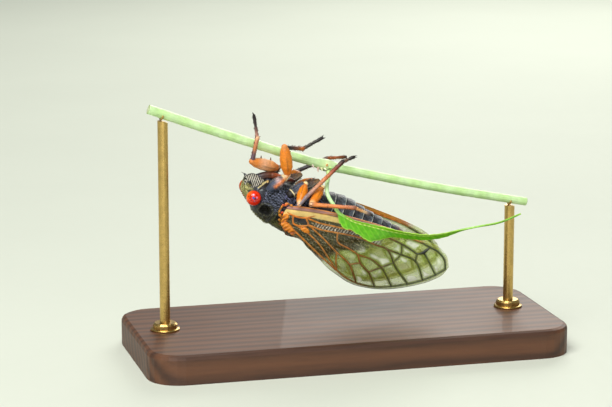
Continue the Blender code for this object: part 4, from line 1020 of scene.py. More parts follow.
# %% The wing's surface and outline
WING_ROOT_X = 7.4
WING_STATIONS = (0.0, 5.0, 11.0, 19.0, 25.0, 29.5)
WING_HALF_SPAN = (4.35, 4.55, 4.95, 4.35, 3.15, 2.2)
WING_HEIGHT = (0.95, 2.3, 3.35, 3.95, 4.0, 3.4)
WING_SLOPE = (78.0, 76.0, 75.0, 76.0, 79.0, 83.0)
WING_CAMBER = 0.9
WING_WIDTH = 11.3
HINDWING_DEPTH = 1.1
FORE_FRONT = (
    (-0.3, 1.6), (-0.1, 0.2), (1.0, 0.0), (5.0, 0.0), (11.0, 0.0), (17.0, 0.0), (22.0, 0.0), (25.6, 0.2),
    (27.8, 0.9), (28.9, 2.1),
)
FORE_BACK = (
    (-0.3, 1.6), (0.2, 3.2), (1.7, 4.3), (4.4, 5.6), (8.4, 8.3), (11.6, 10.2), (13.8, 11.1), (16.6, 11.7),
    (19.6, 11.1), (22.6, 9.6), (25.2, 7.6), (27.2, 5.6), (28.6, 3.6), (28.9, 2.1),
)
HIND_FRONT = ((1.2, 1.5), (6.0, 1.5), (11.5, 1.8), (15.4, 3.4), (16.4, 5.2))
HIND_BACK = ((1.2, 1.5), (1.4, 3.0), (3.4, 4.8), (6.4, 7.4), (9.4, 8.7), (12.6, 8.5), (15.2, 7.2), (16.4, 5.2))


def wing_point(a, b, side, lift=0.0):
    """y = span - b cos + arch sin, z = height - b sin - arch cos of the slope; arch = 4 C v (1 - v) + lift."""
    slope = np.radians(between(WING_STATIONS, WING_SLOPE, a))
    span = between(WING_STATIONS, WING_HALF_SPAN, a)
    height = between(WING_STATIONS, WING_HEIGHT, a)
    arch = WING_CAMBER * 4 * (b / WING_WIDTH) * (1 - b / WING_WIDTH) + lift
    y = span - b * np.cos(slope) + arch * np.sin(slope)
    z = height - b * np.sin(slope) - arch * np.cos(slope)
    return np.stack([WING_ROOT_X + a + 0 * y, side * y, z], axis=-1)


def wing_plan(front, back, rows, columns):
    """A flat map of the wing: straight lines across from the front edge to the back edge."""
    _, start = along(front, rows)
    _, end = along(back, rows)
    dense = 0.5 - 0.5 * np.cos(np.linspace(0, math.pi, columns))
    v = (dense * 0.5 + np.linspace(0, 1, columns) * 0.5)[None, :, None]
    return start[:, None] * (1 - v) + end[:, None] * v


# %% [markdown]
# ## The net of veins
# Veins stiffen a wing and frame its cells. They meet at shared joints, so the joints are listed once by
# name, and each vein is a line of names after its radius. A cubic through the joints gives its course
# on the flat map. The same lines serve twice: for the tubes, and for the distance to the nearest vein,
# which tells the film where to lie flat and where to swell.

# %% The net of veins
FORE_JOINTS = {
    "root": (0.1, 1.0), "root_back": (0.3, 2.5), "cell_root": (1.3, 1.5), "cell_top": (3.3, 1.6),
    "cell_low": (4.1, 2.7), "cell_back": (1.9, 2.8), "costa_a": (5.0, 0.7), "costa_b": (11.0, 0.6),
    "node": (17.0, 0.6), "edge_a": (21.4, 0.55), "edge_b": (24.2, 0.8), "edge_c": (26.3, 1.0),
    "edge_d": (27.7, 1.6), "rim_a": (28.5, 2.7), "rim_b": (27.4, 4.3), "rim_c": (25.9, 6.1),
    "rim_d": (24.0, 7.9), "rim_e": (21.9, 9.4), "rim_f": (19.5, 10.6), "rim_g": (16.4, 11.1),
    "rim_h": (14.4, 10.7), "clavus_tip": (12.3, 9.8), "radius_a": (5.7, 2.1), "radius_b": (8.0, 2.1),
    "radius_c": (11.6, 1.95), "radius_d": (15.0, 1.5), "radius_e": (19.4, 1.75), "radius_f": (22.7, 2.5),
    "spot": (23.6, 1.9), "media_a": (6.3, 3.1), "media_b": (8.9, 3.0), "media_c": (12.3, 2.8),
    "media_d": (15.4, 3.2), "media_e": (17.5, 3.3), "media_f": (18.8, 4.2), "media_g": (19.7, 5.1),
    "media_h": (20.1, 3.4), "media_i": (23.0, 3.7), "fork_a": (9.6, 4.4), "fork_b": (11.8, 5.1),
    "fork_c": (13.6, 5.7), "fork_d": (14.8, 7.0), "fork_e": (16.9, 8.2), "fork_f": (16.1, 5.8),
    "fork_g": (18.3, 6.6), "cubitus_a": (6.7, 4.1), "cubitus_b": (10.4, 6.3), "cubitus_c": (13.4, 7.9),
    "cubitus_d": (15.0, 9.5), "cubitus_e": (11.3, 8.2), "fold_a": (3.9, 3.7), "fold_b": (7.2, 5.6),
    "fold_c": (10.0, 7.9), "hem_a": (3.8, 4.8), "hem_b": (8.3, 7.6),
}


def veins_of(text):
    """One vein a line: its radius, then the names of the joints that it runs through."""
    rows = [line.split() for line in text.strip().splitlines()]
    return [(row[1:], float(row[0])) for row in rows]


FORE_VEINS = veins_of("""
0.15 root cell_root cell_top costa_a costa_b node edge_a edge_b edge_c edge_d rim_a
0.12 rim_a rim_b rim_c rim_d rim_e rim_f rim_g rim_h clavus_tip
0.14 cell_root cell_back cell_low cell_top
0.15 root_back hem_a hem_b clavus_tip
0.13 cell_back fold_a fold_b fold_c clavus_tip
0.14 cell_top radius_a radius_b radius_c radius_d radius_e radius_f
0.16 radius_f spot edge_b
0.12 spot rim_b
0.14 cell_low media_a media_b media_c media_d media_e media_f media_g rim_d
0.13 media_e media_h media_i rim_c
0.12 radius_e media_h media_g
0.13 radius_f media_i
0.13 media_b fork_a fork_b fork_c fork_d fork_e rim_f
0.12 fork_c fork_f fork_g rim_e
0.13 fork_e fork_g media_g
0.13 cell_low cubitus_a cubitus_b cubitus_c cubitus_d rim_g
0.12 cubitus_b cubitus_e clavus_tip
0.11 cubitus_c fork_d
""")
HIND_JOINTS = {
    "root": (1.2, 2.2), "front_a": (6.0, 2.1), "front_b": (11.5, 2.6), "tip": (15.6, 4.6), "fan_a": (8.5, 4.2),
    "fan_b": (12.4, 5.4), "back_a": (13.9, 7.2), "back_b": (11.0, 8.2), "fan_c": (7.0, 5.4), "back_c": (7.6, 7.4),
}
HIND_VEINS = veins_of("""
0.13 root front_a front_b tip
0.11 root fan_a fan_b back_a
0.11 root fan_c back_b
0.09 fan_c back_c
0.09 front_b fan_b
0.08 tip back_a back_b back_c
""")


def vein_line(names, joints):
    """Points about a fifth of a millimetre apart on the cubic through a vein's joints."""
    points = np.array([joints[name] for name in names])
    length = np.linalg.norm(np.diff(points, axis=0), axis=1).sum()
    return along(points, int(length / 0.2) + 2)[1]


def line_distance(plan, lines):
    """Distance on the map from each point to the nearest vein, one short stretch at a time."""
    best = np.full(plan.shape[:-1], 9.0)
    for line in lines:
        for start, end in zip(line[:-1:2], np.concatenate([line[2::2], line[-1:]])):
            run = end - start
            t = np.clip(((plan - start) @ run) / max(run @ run, 1e-9), 0.0, 1.0)
            best = np.minimum(best, np.linalg.norm(plan - start - t[..., None] * run, axis=-1))
    return best


print(len(FORE_VEINS), "veins on each forewing")

# %% [markdown]
# ## Colour and cover of a forewing
# Near its root a forewing is stiff and coloured: a cream band behind the front edge with a dusky pink strip beside
# it, a dark plum cell and orange plates. Farther out it is clear, with soft whitish glints between the veins, which
# are painted highlights, and a ladder of fine pale folds between the two upper veins. A smoky dark patch near the
# root of both wings is painted shade, for the shadow and the dark body seen through the film. Each of these is a mask
# on the map of a and b, so no picture is needed.


# %% Membrane of a wing
def oval(plan, center, radii, tilt=0.0):
    """1 inside an oval on the map and 0 outside, with a soft edge."""
    d = plan - np.asarray(center)
    c, s = math.cos(tilt), math.sin(tilt)
    u, v = (d[..., 0] * c + d[..., 1] * s) / radii[0], (-d[..., 0] * s + d[..., 1] * c) / radii[1]
    return 1 - ease(np.hypot(u, v), 0.8, 1.15)


HALF_FILM = 0.025
RUNG_STEP = 0.46
# Where the painted shade near the wing's root ends: pairs of b and the a at which it fades.
DARK_EDGE = (
    (1.0, 16.6), (2.4, 16.9), (3.2, 16.1), (3.9, 15.2), (4.9, 14.0), (5.3, 12.6), (5.8, 11.2), (7.0, 10.6), (8.6, 9.4)
)


def membrane(plan, side, lines, depth, fore):
    """Outer and inner sheets as one ring per row: surface + swell + and - half the film, less its depth."""
    a, b = plan[..., 0], plan[..., 1]
    flat = np.stack([a, b, 0 * a], -1)
    away = line_distance(plan, lines)
    pucker, cross = waves(flat, 21 if fore else 22, 0.55), waves(flat, 24, 0.16)
    inner_part = 1 - ease(a - np.interp(b, *zip(*DARK_EDGE)), -0.9, 0.5)
    swell = 0.1 * ease(away, 0.1, 0.8) * np.sin(a * 1.1 + b * 0.9) + 0.025 * pucker * ease(away, 0.05, 0.4)
    wide = waves(flat, 23, 1.3)
    # Painted highlight: soft whitish glints in the outer cells, lighter and more opaque.
    painted_glint = ease(wide, 0.1, 0.7) * ease(away, 0.15, 0.6) * ease(a, 11.5, 15)
    tint = layers(
        "b4c854", a.shape,
        (0.5 * ease(-wide, 0.0, 0.8), "c4c060"),
        (0.95 * painted_glint, "f6fbea"),
        (0.45 * (1 - ease(away, 0.15, 0.45)), "5c662c"),
    )
    cover = 0.4 + 0.32 * painted_glint + 0.3 * (1 - ease(away, 0.12, 0.42)) * ease(a, 10, 15)
    if fore:
        # Painted shade: a smoky dark patch near the root, for the shadow and the dark body seen through the film.
        base = (1 - ease(a, 12.0, 17.5)) * inner_part
        tint = over(tint, base * 0.92, "36271a")
        threads = ease(np.cos(2 * math.pi * (b * 1.9 - a * 0.35) + 2.2 * pucker), 0.75, 0.98) * inner_part
        tint = over(tint, threads * ease(cross, -0.4, 0.4) * 0.7, "cfc3a4")
        cover = cover + 0.22 * base + 0.25 * threads
        band = (1 - ease(b - (1.42 - 0.95 * ease(a, 7.5, 20.0)), 0.0, 0.08)) * (1 - ease(a, 21.0, 23.5))
        pink = 1 - ease(b - 0.5 + 0.2 * ease(a, 9, 18), 0.0, 0.08)
        seam = bell(b - 0.52 + 0.2 * ease(a, 9, 18), 0.06)
        ladder = ease(a, 4.6, 5.6) * (1 - ease(a, 15.0, 17.0)) * ease(b, 2.05, 2.2) * (1 - ease(b, 2.9, 3.1))
        climb = 2 * math.pi * (a + 0.15 * b) / RUNG_STEP
        rungs = ease(np.cos(climb + 0.9 * pucker), 0.0, 0.6) * (0.7 + 0.3 * cross)
        plum = oval(plan, (2.75, 2.2), (1.5, 0.42), 0.18)
        plates = np.maximum(oval(plan, (1.3, 3.6), (1.9, 0.62), 0.62), oval(plan, (4.0, 3.55), (1.0, 0.4), 0.5))
        plates = np.maximum(plates, oval(plan, (0.1, 2.0), (0.7, 0.8)))
        swell = swell * (1 - band) + 0.16 * band * np.sin(math.pi * np.clip(b / 1.4, 0, 1)) - 0.1 * seam * band
        swell = swell + 0.04 * ladder * np.cos(climb) + 0.1 * plates + 0.05 * plates * pucker
        tint = over(tint, ladder * rungs * 0.95, "e9e2d0")
        tint = over(tint, ladder * (1 - rungs) * 0.85, "4a3424")
        cover = cover + ladder * (0.35 * rungs + 0.3)
        coats = (
            (band, "f2d080"),
            (band * ease(a, 9.0, 17.0) * 0.85, "e8963a"),
            (band * pink, "b4857c"),
            (band * seam * 0.7, "6a4030"),
            (band * (1 - ease(b, 0.05, 0.16)) * 0.8, "e08a3c"),
            (plum, "120c16"),
            (plates * (1 - plum), "e98a1e"),
            (plates * ease(-pucker, 0.1, 0.7) * 0.8, "8a3814"),
        )
        for mask, color in coats:
            tint = over(tint, mask, color)
        cover = np.maximum(cover, np.maximum(np.maximum(band, plum), plates))
    else:
        # Painted shade: the same smoky dark patch near the root of the hindwing.
        tint = over(tint, inner_part * (0.95 - 0.3 * ease(pucker, 0, 0.8)), "2b2119")
        cover = 0.12 + 0.72 * inner_part
    hem = ease(np.linspace(0, 1, b.shape[1])[None, :], 0.955, 0.985) * ease(a, 8.0, 12.0) * fore
    tint = over(tint, 0.9 * hem, "45562c")
    cover = np.clip(np.maximum(cover, 0.65 * hem), 0, 1)
    outer = wing_point(a, b, side, swell - depth + HALF_FILM)
    inner = wing_point(a, b, side, swell - depth - HALF_FILM)
    ring = np.concatenate([outer, inner[:, ::-1]], axis=1)
    under = over(tint, 0.85 * band * (1 - ease(a, 19, 23)), "e9a23c") if fore else tint
    marks = {
        "tint": np.concatenate([tint, under[:, ::-1]], axis=1),
        "cover": np.concatenate([cover, cover[:, ::-1]], axis=1),
    }
    return closed(ring, **marks)


def vein_tubes(veins, joints, side, depth):
    """Each vein is a tube on the wing's surface, orange at the root and near black at the tip."""
    made = []
    for names, radius in veins:
        plan = vein_line(names, joints)
        a = plan[:, 0]
        path = wing_point(a, plan[:, 1], side, -depth)
        far, middle = ("c8782c", "c8782c") if names[0] == "root" else ("7a4c22", "4c4a28")
        run = f"0 d8741f, 5 c47c30, 9 b87a38, 12 ac682e, 16 {far}, 19.5 {middle}, 23 47502c, 29 3c4a30"
        color = stops(a, run)
        color = color * (1 + 0.18 * np.sin(a * 5.0 + len(names)))[:, None]
        radii = radius * (1.0 - 0.1 * ease(a, 12, 26)) * (1 + 0.06 * np.sin(a * 9.0))
        dark = bell(a - 23.6, 0.45) * (1.0 if "spot" in names else 0.0)
        color = over(color, dark, "15181a")
        made.append(tube(path, radii * (1 + 0.9 * dark), 10, lean=(0.1, 0.3, 1.0), tint=color, cover=np.ones(len(a))))
    return made


wing_film = finish(
    "wing_film", grain=0.12, depth=0.006, mottle=0.12, patch=0.9, rough=(0.12, 0.3), alpha=True, coat=0.3
)
wing_vein = finish("wing_vein", grain=0.06, depth=0.008, mottle=0.25, patch=0.3, rough=(0.3, 0.5))
WINGS = (
    ("forewing", FORE_VEINS, FORE_JOINTS, wing_plan(FORE_FRONT, FORE_BACK, 330, 110), 0.0),
    ("hindwing", HIND_VEINS, HIND_JOINTS, wing_plan(HIND_FRONT, HIND_BACK, 150, 60), HINDWING_DEPTH),
)
for side, label in SIDES:
    for wing, veins, joints, plan, depth in WINGS:
        lines = [vein_line(names, joints) for names, _ in veins]
        film = membrane(plan, side, lines, depth, wing == "forewing")
        build(f"{wing}_film_{label}", [film], wing_film, [f"{wing}_{label}"])
        build(f"{wing}_veins_{label}", vein_tubes(veins, joints, side, depth), wing_vein)

# %% [markdown]
# ## Wing roots
# A wing is hung on a handful of small hard knobs between the collar and the thorax. In the photograph
# they are rusty, with bright edges round a dark hollow, and they hide the place where the film meets
# the body. A few short rounded tubes, each with its own pair of end points, are enough.

# %% Rusty knobs at the roots of the wings
# Painted shade and highlight: the dark knob, 1a1420, stands for the shade in the hollow, and the pale pink one,
# c9a8a8, is a painted highlight.
KNOBS = (
    ((6.85, 4.25, 0.95), (7.7, 4.5, 1.2), 0.15, "d98a30"), ((6.6, 4.2, 0.5), (6.95, 4.35, 0.85), 0.17, "d4622a"),
    ((6.45, 4.15, -0.1), (6.5, 4.3, 0.35), 0.14, "e0902c"), ((6.5, 4.15, -0.75), (6.45, 4.2, -0.3), 0.15, "e39a30"),
    ((6.85, 4.2, 0.05), (7.15, 4.4, 0.2), 0.22, "1a1420"), ((7.2, 4.25, -0.1), (7.6, 4.45, 0.05), 0.16, "c9a8a8"),
    ((6.9, 4.2, -0.55), (7.5, 4.4, -0.4), 0.17, "c8441c"), ((6.8, 4.0, -1.1), (7.9, 4.3, -1.45), 0.2, "e08a24"),
    ((7.2, 3.8, -1.75), (8.3, 4.15, -2.2), 0.2, "e6942a"), ((7.6, 3.5, -2.35), (8.9, 3.95, -3.0), 0.17, "c06a20"),
)
for side, label in SIDES:
    knobs = []
    for k, (start, end, radius, color) in enumerate(KNOBS):
        t = np.linspace(0, 1, 14)
        path = (np.array(start) + (np.array(end) - start) * t[:, None]) * (1, side, 1)
        path[:, 2] += 0.08 * np.sin(5 * t + 2 * k)
        path, radii = rounded(path, radius * (1 + 0.25 * np.sin(7 * t + k)), 5)
        shade = (0.75 + 0.35 * np.sin(np.linspace(0, 9, len(path)) + k))[:, None]
        knobs.append(tube(path, radii, 20, lean=(0.2, 0.1, 1.0), tint=paint(color) * shade))
    build("wing_root_" + label, knobs, leg_shell)

# %% [markdown]
# ## The stem
# The perch is a length of thin green stem, cut square at both ends, with a swelling where one leaf
# grows. Fine ribs run along it and the light side is almost white. It is a tube whose radius is a slow
# taper plus a bell curve at the bud, times one plus a little cosine round the ring for the ribs.

# %% The stem and its bud
STEM_X = (-13.8, -6.0, 2.0, 14.0, 21.3, 31.2, 47.4)
STEM_Z = (12.2, 9.25, 6.35, 2.2, 0.3, -2.05, -5.45)
STEM_Y = 0.85
BUD_X = 14.2
STEM_RADIUS = 0.73
STEM_TAPER = 0.08
BUD_SWELL = 0.28
BUD_WIDTH = 1.3


def stem_height(x):
    """Height of the stem's centre line above the head, at a place along it."""
    return between(STEM_X, STEM_Z, x)


def stem_radius(x):
    """Radius less the taper times the share of the length, plus a bell-shaped swelling at the bud."""
    t = (x - STEM_X[0]) / (STEM_X[-1] - STEM_X[0])
    return STEM_RADIUS - STEM_TAPER * t + BUD_SWELL * bell(x - BUD_X, BUD_WIDTH)


def ribs(s, a):
    """Fine ribs round the stem: 1 + 0.012 cos 11 a + 0.008 cos(23 a + 40 s)."""
    return 1 + 0.012 * np.cos(11 * a) + 0.008 * np.cos(23 * a + 40 * s)


x = np.linspace(STEM_X[0] + 0.05, STEM_X[-1] - 0.05, 620)
path = np.stack([x, np.full(len(x), STEM_Y), stem_height(x)], axis=1)
radii = stem_radius(x) * (1 + 0.012 * np.sin(x * 2.1) + 0.01 * np.sin(x * 5.3 + 1))
color = layers("bcdf98", x.shape, (0.5 + 0.5 * np.sin(x * 1.7), "c8e8ac"), (bell(x - BUD_X, 0.9), "d8ecb4"))
caps = np.array((0.012, 0.009, 0.006, 0.003)) / 0.1
ends_in = np.array((0.2, 0.55, 0.85, 0.97))
head = path[:1] + np.outer(caps, path[0] - path[1])
tail = path[-1:] + np.outer(caps[::-1], path[-1] - path[-2])
path = np.concatenate([head, path, tail])
radii = np.concatenate([radii[0] * ends_in, radii, radii[-1] * ends_in[::-1]])
pith = stops(np.array((0.0, 0.4, 0.8, 1.0)), "0 dfe8c0, 0.6 c8d898, 1 86a84c")
stem = tube(path, radii, 56, lean=(0, 1, 0), shape=ribs, tint=np.concatenate([pith, color, pith[::-1]]))
stem_skin = finish("stem_skin", grain=0.08, depth=0.006, mottle=0.1, patch=0.8, rough=(0.3, 0.45), coat=0.1)
build("stem", [stem], stem_skin, ["perch_stem"], from_head)

SCALES = (
    ((11.7, 0.5, 2.75), (-0.1, -0.3, -0.9), 0.45, "e9c8cc"), ((11.9, 0.45, 2.6), (0.05, -0.4, -0.9), 0.85, "f0dcd4"),
    ((12.8, 0.3, 2.0), (-0.3, -0.35, -0.9), 0.9, "d8b8a8"), ((13.3, 0.2, 1.9), (-0.1, -0.6, -0.8), 0.6, "eef0b8"),
    ((13.8, 0.1, 1.8), (0.1, -0.8, -0.5), 0.5, "f0f4c8"), ((14.6, 0.0, 1.9), (0.3, -0.9, -0.1), 0.5, "a8d878"),
    ((14.1, -0.05, 2.3), (0.0, -0.8, 0.6), 0.4, "e8b070"),
)
scales = [
    thorn(root, way, size, 0.2, code, curl=(0.2, 0, 0.1), rows=12, sides=14) for root, way, size, code in SCALES
]
build("bud_scales", scales, stem_skin, (), from_head)

# %% [markdown]
# ## The leaf
# One narrow toothed leaf hangs from the bud and crosses the wing. Its midrib is a path in space, and at each place
# the blade has a half width and a turn about the rib. The edge gets its teeth from a saw wave, and side veins are
# shallow ridges that lean forward. A fold along the midrib makes the blade a shallow trough, and its half above the
# midrib is painted a lighter green, as painted light on the side that faces the lamps.

# %% The leaf's blade, midrib and stalk
STALK_PATH = (
    (14.35, -0.45, 1.2), (13.9, -1.5, 0.55), (13.3, -2.9, -0.5),
    (13.1, -3.9, -1.35), (13.3, -4.8, -2.15), (13.7, -5.6, -2.95),
)
MIDRIB_PATH = (
    (14.2, -6.1, -3.85), (16.3, -6.5, -5.3), (19.0, -6.7, -6.2), (22.3, -6.9, -7.15), (25.5, -6.9, -7.85),
    (28.0, -6.9, -8.2), (30.4, -6.8, -8.15), (33.7, -6.7, -7.6), (37.1, -6.5, -7.2), (40.5, -6.2, -6.85),
    (44.0, -6.0, -5.8),
)
LEAF_SPOTS = (0.0, 0.03, 0.055, 0.1, 0.14, 0.2, 0.25, 0.3, 0.4, 0.5, 0.6, 0.7, 0.85, 1.0)
LEAF_LOWER = (0.25, 1.0, 1.45, 1.3, 1.7, 2.2, 1.7, 1.1, 1.0, 1.05, 1.0, 0.8, 0.6, 0.1)
LEAF_UPPER = (0.15, 0.2, 0.3, 0.35, 0.4, 0.45, 0.6, 0.7, 0.85, 0.95, 0.95, 0.75, 0.55, 0.1)
LEAF_TURN = (0.0, 0.0, 2.0, 4.0, 6.0, 10.0, 25.0, 42.0, 55.0, 56.0, 56.0, 68.0, 64.0, 50.0)
HALF_BLADE = 0.06
TEETH = 23.0
TOOTH_LENGTH = 0.2
t, rib = along(MIDRIB_PATH, 420)
s = np.linspace(-1, 1, 61)[None, :]
half = np.where(s < 0, between(LEAF_SPOTS, LEAF_LOWER, t)[:, None], between(LEAF_SPOTS, LEAF_UPPER, t)[:, None])
saw = (t * TEETH) % 1.0
tooth = TOOTH_LENGTH * (saw - ease(saw, 0.86, 1.0))[:, None] * np.clip(half, 0.15, 1.0)
turn = np.radians(between(LEAF_SPOTS, LEAF_TURN, t))
ahead = unit(np.gradient(rib, axis=0))
level = np.stack([0 * turn, -np.sin(turn), np.cos(turn)], axis=1)
level = unit(level - ahead * (level * ahead).sum(1)[:, None])
face = np.cross(ahead, level)
reach = (half - 0.06) * s + tooth * np.sign(s) * np.abs(s) ** 6
lean = t[:, None] * 30 - np.abs(s) * half * 1.1
ridge = bell(np.sin(math.pi * lean), 0.28)
fold = (
    0.25 * np.abs(s) * half + 0.06 * np.sin(9 * t[:, None] + 2 * s) * np.abs(s) + 0.04 * ridge * (1 - np.abs(s) ** 3)
)
middle = rib[:, None] + level[:, None] * reach[..., None] + face[:, None] * fold[..., None]
thick = face[:, None] * HALF_BLADE
sheet = np.concatenate([middle + thick, (middle - thick)[:, ::-1]], axis=1)
grain = waves(middle, 31, 0.35)
rim = ease(np.abs(s) + 0 * t[:, None], 0.9, 0.99)
green = layers(
    "55ae00", fold.shape,
    (0.3 + 0.3 * grain, "70c608"),
    (0.5 * ridge, "9ad63c"),
    # Painted light: the half above the midrib is a lighter green.
    (0.75 * ease(s, 0.05, 0.4) + 0 * fold, "86d000"),
    (0.7 * rim, "c2e85c"),
    (0.6 * ease(t, 0.45, 0.8)[:, None] + 0 * s, "86cc2a"),
)
leaf_skin = finish("leaf_skin", grain=0.1, depth=0.01, mottle=0.15, patch=0.5, rough=(0.3, 0.5), coat=0.1)
blade = closed(sheet, tint=np.concatenate([green, green[:, ::-1]], axis=1))
_, stalk_path = along(np.concatenate([np.array(STALK_PATH), rib[[0, 20]]]), 90)
share = np.linspace(0, 1, 90)
pale = stops(share, "0 bcdc90, 0.5 c6ecb4, 1 9ad84a")
stalk_radii = np.interp(share, (0, 0.1, 0.8, 1), (0.5, 0.31, 0.3, 0.2))
stalk = tube(stalk_path, stalk_radii, 24, lean=(0.3, 0.2, 1), tint=pale)
beads = 0.6 + 0.4 * np.sin(t[8:] * 260)[:, None]
bright = beads * paint("dcf07c") + (1 - beads) * paint("7cc92a")
nerve_radii = np.interp(t[8:], (0, 1), (0.14, 0.06))
nerve = tube(rib[8:] + face[8:] * 0.02, nerve_radii, 14, lean=(0, 0, 1), tint=bright)
build("leaf", [blade, stalk, nerve], leaf_skin, ["perch_leaf"], from_head)

# %% [markdown]
# ## The stand
# The base is a low block of dark satin wood, and two thin brass rods hold the stem. Their solids have
# the right shape, so they stay and only get a finish. Wood is a stack of growth rings seen from the
# side: a wave texture bent by noise, stretched along the grain, with fine pores across it. The brass
# is satin: the same finish as the shell's, with its metal value at one.


# %% Wood for the base and brass for the rods
def timber(name, light, dark):
    """Growth rings from a wave along y and z bent by noise, with pores stretched along the grain."""
    material = bpy.data.materials.new(name)
    material.use_nodes = True
    tree = material.node_tree
    link = tree.links.new
    shader = tree.nodes["Principled BSDF"]
    place = add_node(tree, "ShaderNodeTexCoord")
    stretch = add_node(tree, "ShaderNodeMapping", Scale=(12.0, 160.0, 160.0), Rotation=(0.5, 0.0, 0.04))
    link(place.outputs["Object"], stretch.inputs["Vector"])
    rings = add_node(tree, "ShaderNodeTexWave", Scale=0.9, Distortion=5.0, Detail=3.0, Detail_Scale=1.2)
    rings.bands_direction = "Y"
    pores = add_node(tree, "ShaderNodeTexNoise", Scale=14.0, Detail=4.0)
    for pattern in (rings, pores):
        link(stretch.outputs["Vector"], pattern.inputs["Vector"])
    ramp = add_node(tree, "ShaderNodeValToRGB")
    ramp.color_ramp.elements[0].color = (*paint(dark), 1)
    ramp.color_ramp.elements[1].color = (*paint(light), 1)
    blend = add_node(tree, "ShaderNodeMath")
    blend.operation = "MULTIPLY_ADD"
    blend.inputs[1].default_value = 0.55
    half_pores = add_node(tree, "ShaderNodeMath")
    half_pores.operation = "MULTIPLY"
    half_pores.inputs[1].default_value = 0.5
    link(pores.outputs["Fac"], half_pores.inputs[0])
    link(rings.outputs["Fac"], blend.inputs[0])
    link(half_pores.outputs["Value"], blend.inputs[2])
    link(blend.outputs["Value"], ramp.inputs["Fac"])
    link(ramp.outputs["Color"], shader.inputs["Base Color"])
    gloss = add_node(tree, "ShaderNodeMapRange", To_Min=0.45, To_Max=0.65)
    link(pores.outputs["Fac"], gloss.inputs["Value"])
    link(gloss.outputs["Result"], shader.inputs["Roughness"])
    bump = add_node(tree, "ShaderNodeBump", Distance=0.03 * MM)
    link(pores.outputs["Fac"], bump.inputs["Height"])
    link(bump.outputs["Normal"], shader.inputs["Normal"])
    shader.inputs["Coat Weight"].default_value = 0.05
    return material


base_wood = timber("base_wood", "6b432a", "2c1810")
rod_brass = finish(
    "rod_brass", grain=0.15, depth=0.003, mottle=0.12, patch=1.2, rough=(0.22, 0.36), metal=1.0, tint="c9a865"
)
for name, material in (("stand_base", base_wood), ("stand_rod_left", rod_brass), ("stand_rod_right", rod_brass)):
    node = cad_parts[name]
    if not node.material_slots:
        node.data.materials.append(material)
    for own in node.material_slots:
        own.material = material
print("finishes on", [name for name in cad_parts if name.startswith("stand_")])

# %% [markdown]
# ## Washers and saddles
# A rod that goes bare into wood, or a stem laid bare on a rod, looks unfinished. A turned washer hides
# the hole in the base, and a small saddle bends under the stem. The washer is a tube with a stepped
# radius and the saddle a thin tube along an arc square to the stem, so the function that made the legs
# makes both.

# %% Washers and saddles at the ends of the rods
BASE_TOP = 4.5
for label, x_at in (("left", -11.6), ("right", 44.6)):
    center = np.array((x_at, STEM_Y, 0.0))
    z = np.array((-0.03, 0.0, 0.05, 0.22, 0.3, 0.33)) + BASE_TOP - HEAD_AT[2]
    radius = np.array((1.5, 2.2, 2.28, 2.28, 2.2, 1.2))
    washer = tube(center + np.outer(z, (0, 0, 1)), radius, 64, lean=(1, 0, 0))
    a = np.radians(np.linspace(198, 342, 40))
    slope = math.atan(float(stem_height(x_at + 0.5) - stem_height(x_at - 0.5)))
    reach = float(stem_radius(x_at)) + 0.14
    arc = np.stack([-np.sin(slope) * np.sin(a) * reach, np.cos(a) * reach, np.cos(slope) * np.sin(a) * reach], axis=1)
    arc = arc + (x_at, STEM_Y, float(stem_height(x_at)))
    saddle = tube(*rounded(arc, np.full(40, 0.17), 4), 20, lean=(1, 0, 0))
    build("saddle_" + label, [washer, saddle], rod_brass, (), from_head)

# %% [markdown]
# ## Floor and light
# The model stands on a plain pale floor. A large soft lamp above on the left stands for the sky, a
# smaller one in front fills the shadows, and a third from behind draws a rim on the wings. Lamps with
# an area of their own give soft edges to the shadows, as daylight does.

# %% Floor and lights
floor = bpy.data.meshes.new("floor")
floor.from_pydata([(-3, -3, 0), (3, -3, 0), (3, 3, 0), (-3, 3, 0)], [], [(0, 1, 2, 3)])
floor_piece = bpy.data.objects.new("floor", floor)
bpy.context.scene.collection.objects.link(floor_piece)
floor_paint = finish(
    "floor_paint", grain=2.0, depth=0.01, mottle=0.015, patch=60.0, rough=(0.7, 0.8), tint=(0.62, 0.66, 0.58)
)
floor.materials.append(floor_paint)


def aimed(thing, place, right, up, back):
    """Put a lamp or a camera at a place in millimetres, with its own three directions as a turn."""
    holder = bpy.data.objects.new(thing.name, thing)
    turned = np.eye(4)
    turned[:3, 0], turned[:3, 1], turned[:3, 2], turned[:3, 3] = right, up, back, np.asarray(place) * MM
    holder.matrix_world = Matrix(turned.tolist())
    bpy.context.scene.collection.objects.link(holder)
    return holder


LAMPS_AIM = (0, 0, 25)


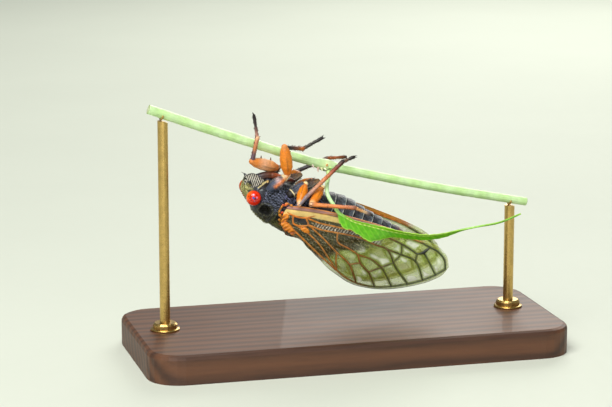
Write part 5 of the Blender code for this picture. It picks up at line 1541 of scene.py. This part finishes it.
def lamp(name, place, size, power, color):
    """A square soft lamp turned towards the insect's middle: back = away from it, right = z cross back."""
    light = bpy.data.lights.new(name, "AREA")
    light.size = size
    light.energy = power
    light.color = color
    back = unit(np.asarray(place, float) - LAMPS_AIM)
    right = unit(np.cross((0.0, 0.0, 1.0), back))
    return aimed(light, place, right, np.cross(back, right), back)


lamp("sky", (-200, -240, 520), 0.4, 4.2, (1.0, 0.98, 0.94))
lamp("front", (-180, -500, 120), 0.3, 0.6, (1.0, 1.0, 1.0))
lamp("rim", (220, 380, 260), 0.3, 1.2, (1.0, 0.98, 0.92))
world = bpy.data.worlds.new("studio")
bpy.context.scene.world = world
world.use_nodes = True
world.node_tree.nodes["Background"].inputs[0].default_value = (0.9, 0.95, 0.9, 1.0)
world.node_tree.nodes["Background"].inputs[1].default_value = 0.25
bpy.context.scene.view_settings.view_transform = "Standard"

# %% [markdown]
# ## The camera
# The camera looks a little down on the insect's right side, from as far as a long lens would, so that
# hardly any perspective shows. Its turn was worked out from where the eye and the ends of the stem
# lie. Its lens makes one millimetre cover six and a half pixels, and a shift sideways and up brings
# the head to its own pixel. Such arithmetic is surer than moving a camera by eye.

# %% The camera
AZIMUTH, ELEVATION = math.radians(-15), math.radians(12)
DISTANCE = 360.0
PIXELS_PER_MM = 6.5
HEAD_PIXEL = (238.5, 184.5)
PHOTO_WIDTH, PHOTO_HEIGHT = 612, 407
SENSOR_WIDTH = 36.0
level = math.cos(ELEVATION)
look = np.array((-math.sin(AZIMUTH) * level, math.cos(AZIMUTH) * level, -math.sin(ELEVATION)))
right = np.array((math.cos(AZIMUTH), math.sin(AZIMUTH), 0.0))
up = np.cross(right, look)
place = (
    HEAD_AT + right * (PHOTO_WIDTH / 2 - HEAD_PIXEL[0]) / PIXELS_PER_MM
    + up * (HEAD_PIXEL[1] - PHOTO_HEIGHT / 2) / PIXELS_PER_MM - look * DISTANCE
)
lens = bpy.data.cameras.new("camera")
lens.sensor_width = SENSOR_WIDTH
lens.lens = SENSOR_WIDTH * PIXELS_PER_MM * DISTANCE / PHOTO_WIDTH
lens.clip_start = 0.01
bpy.context.scene.camera = aimed(lens, place, right, up, -look)
print("camera at", np.round(place, 1), "mm, lens", round(lens.lens, 1))
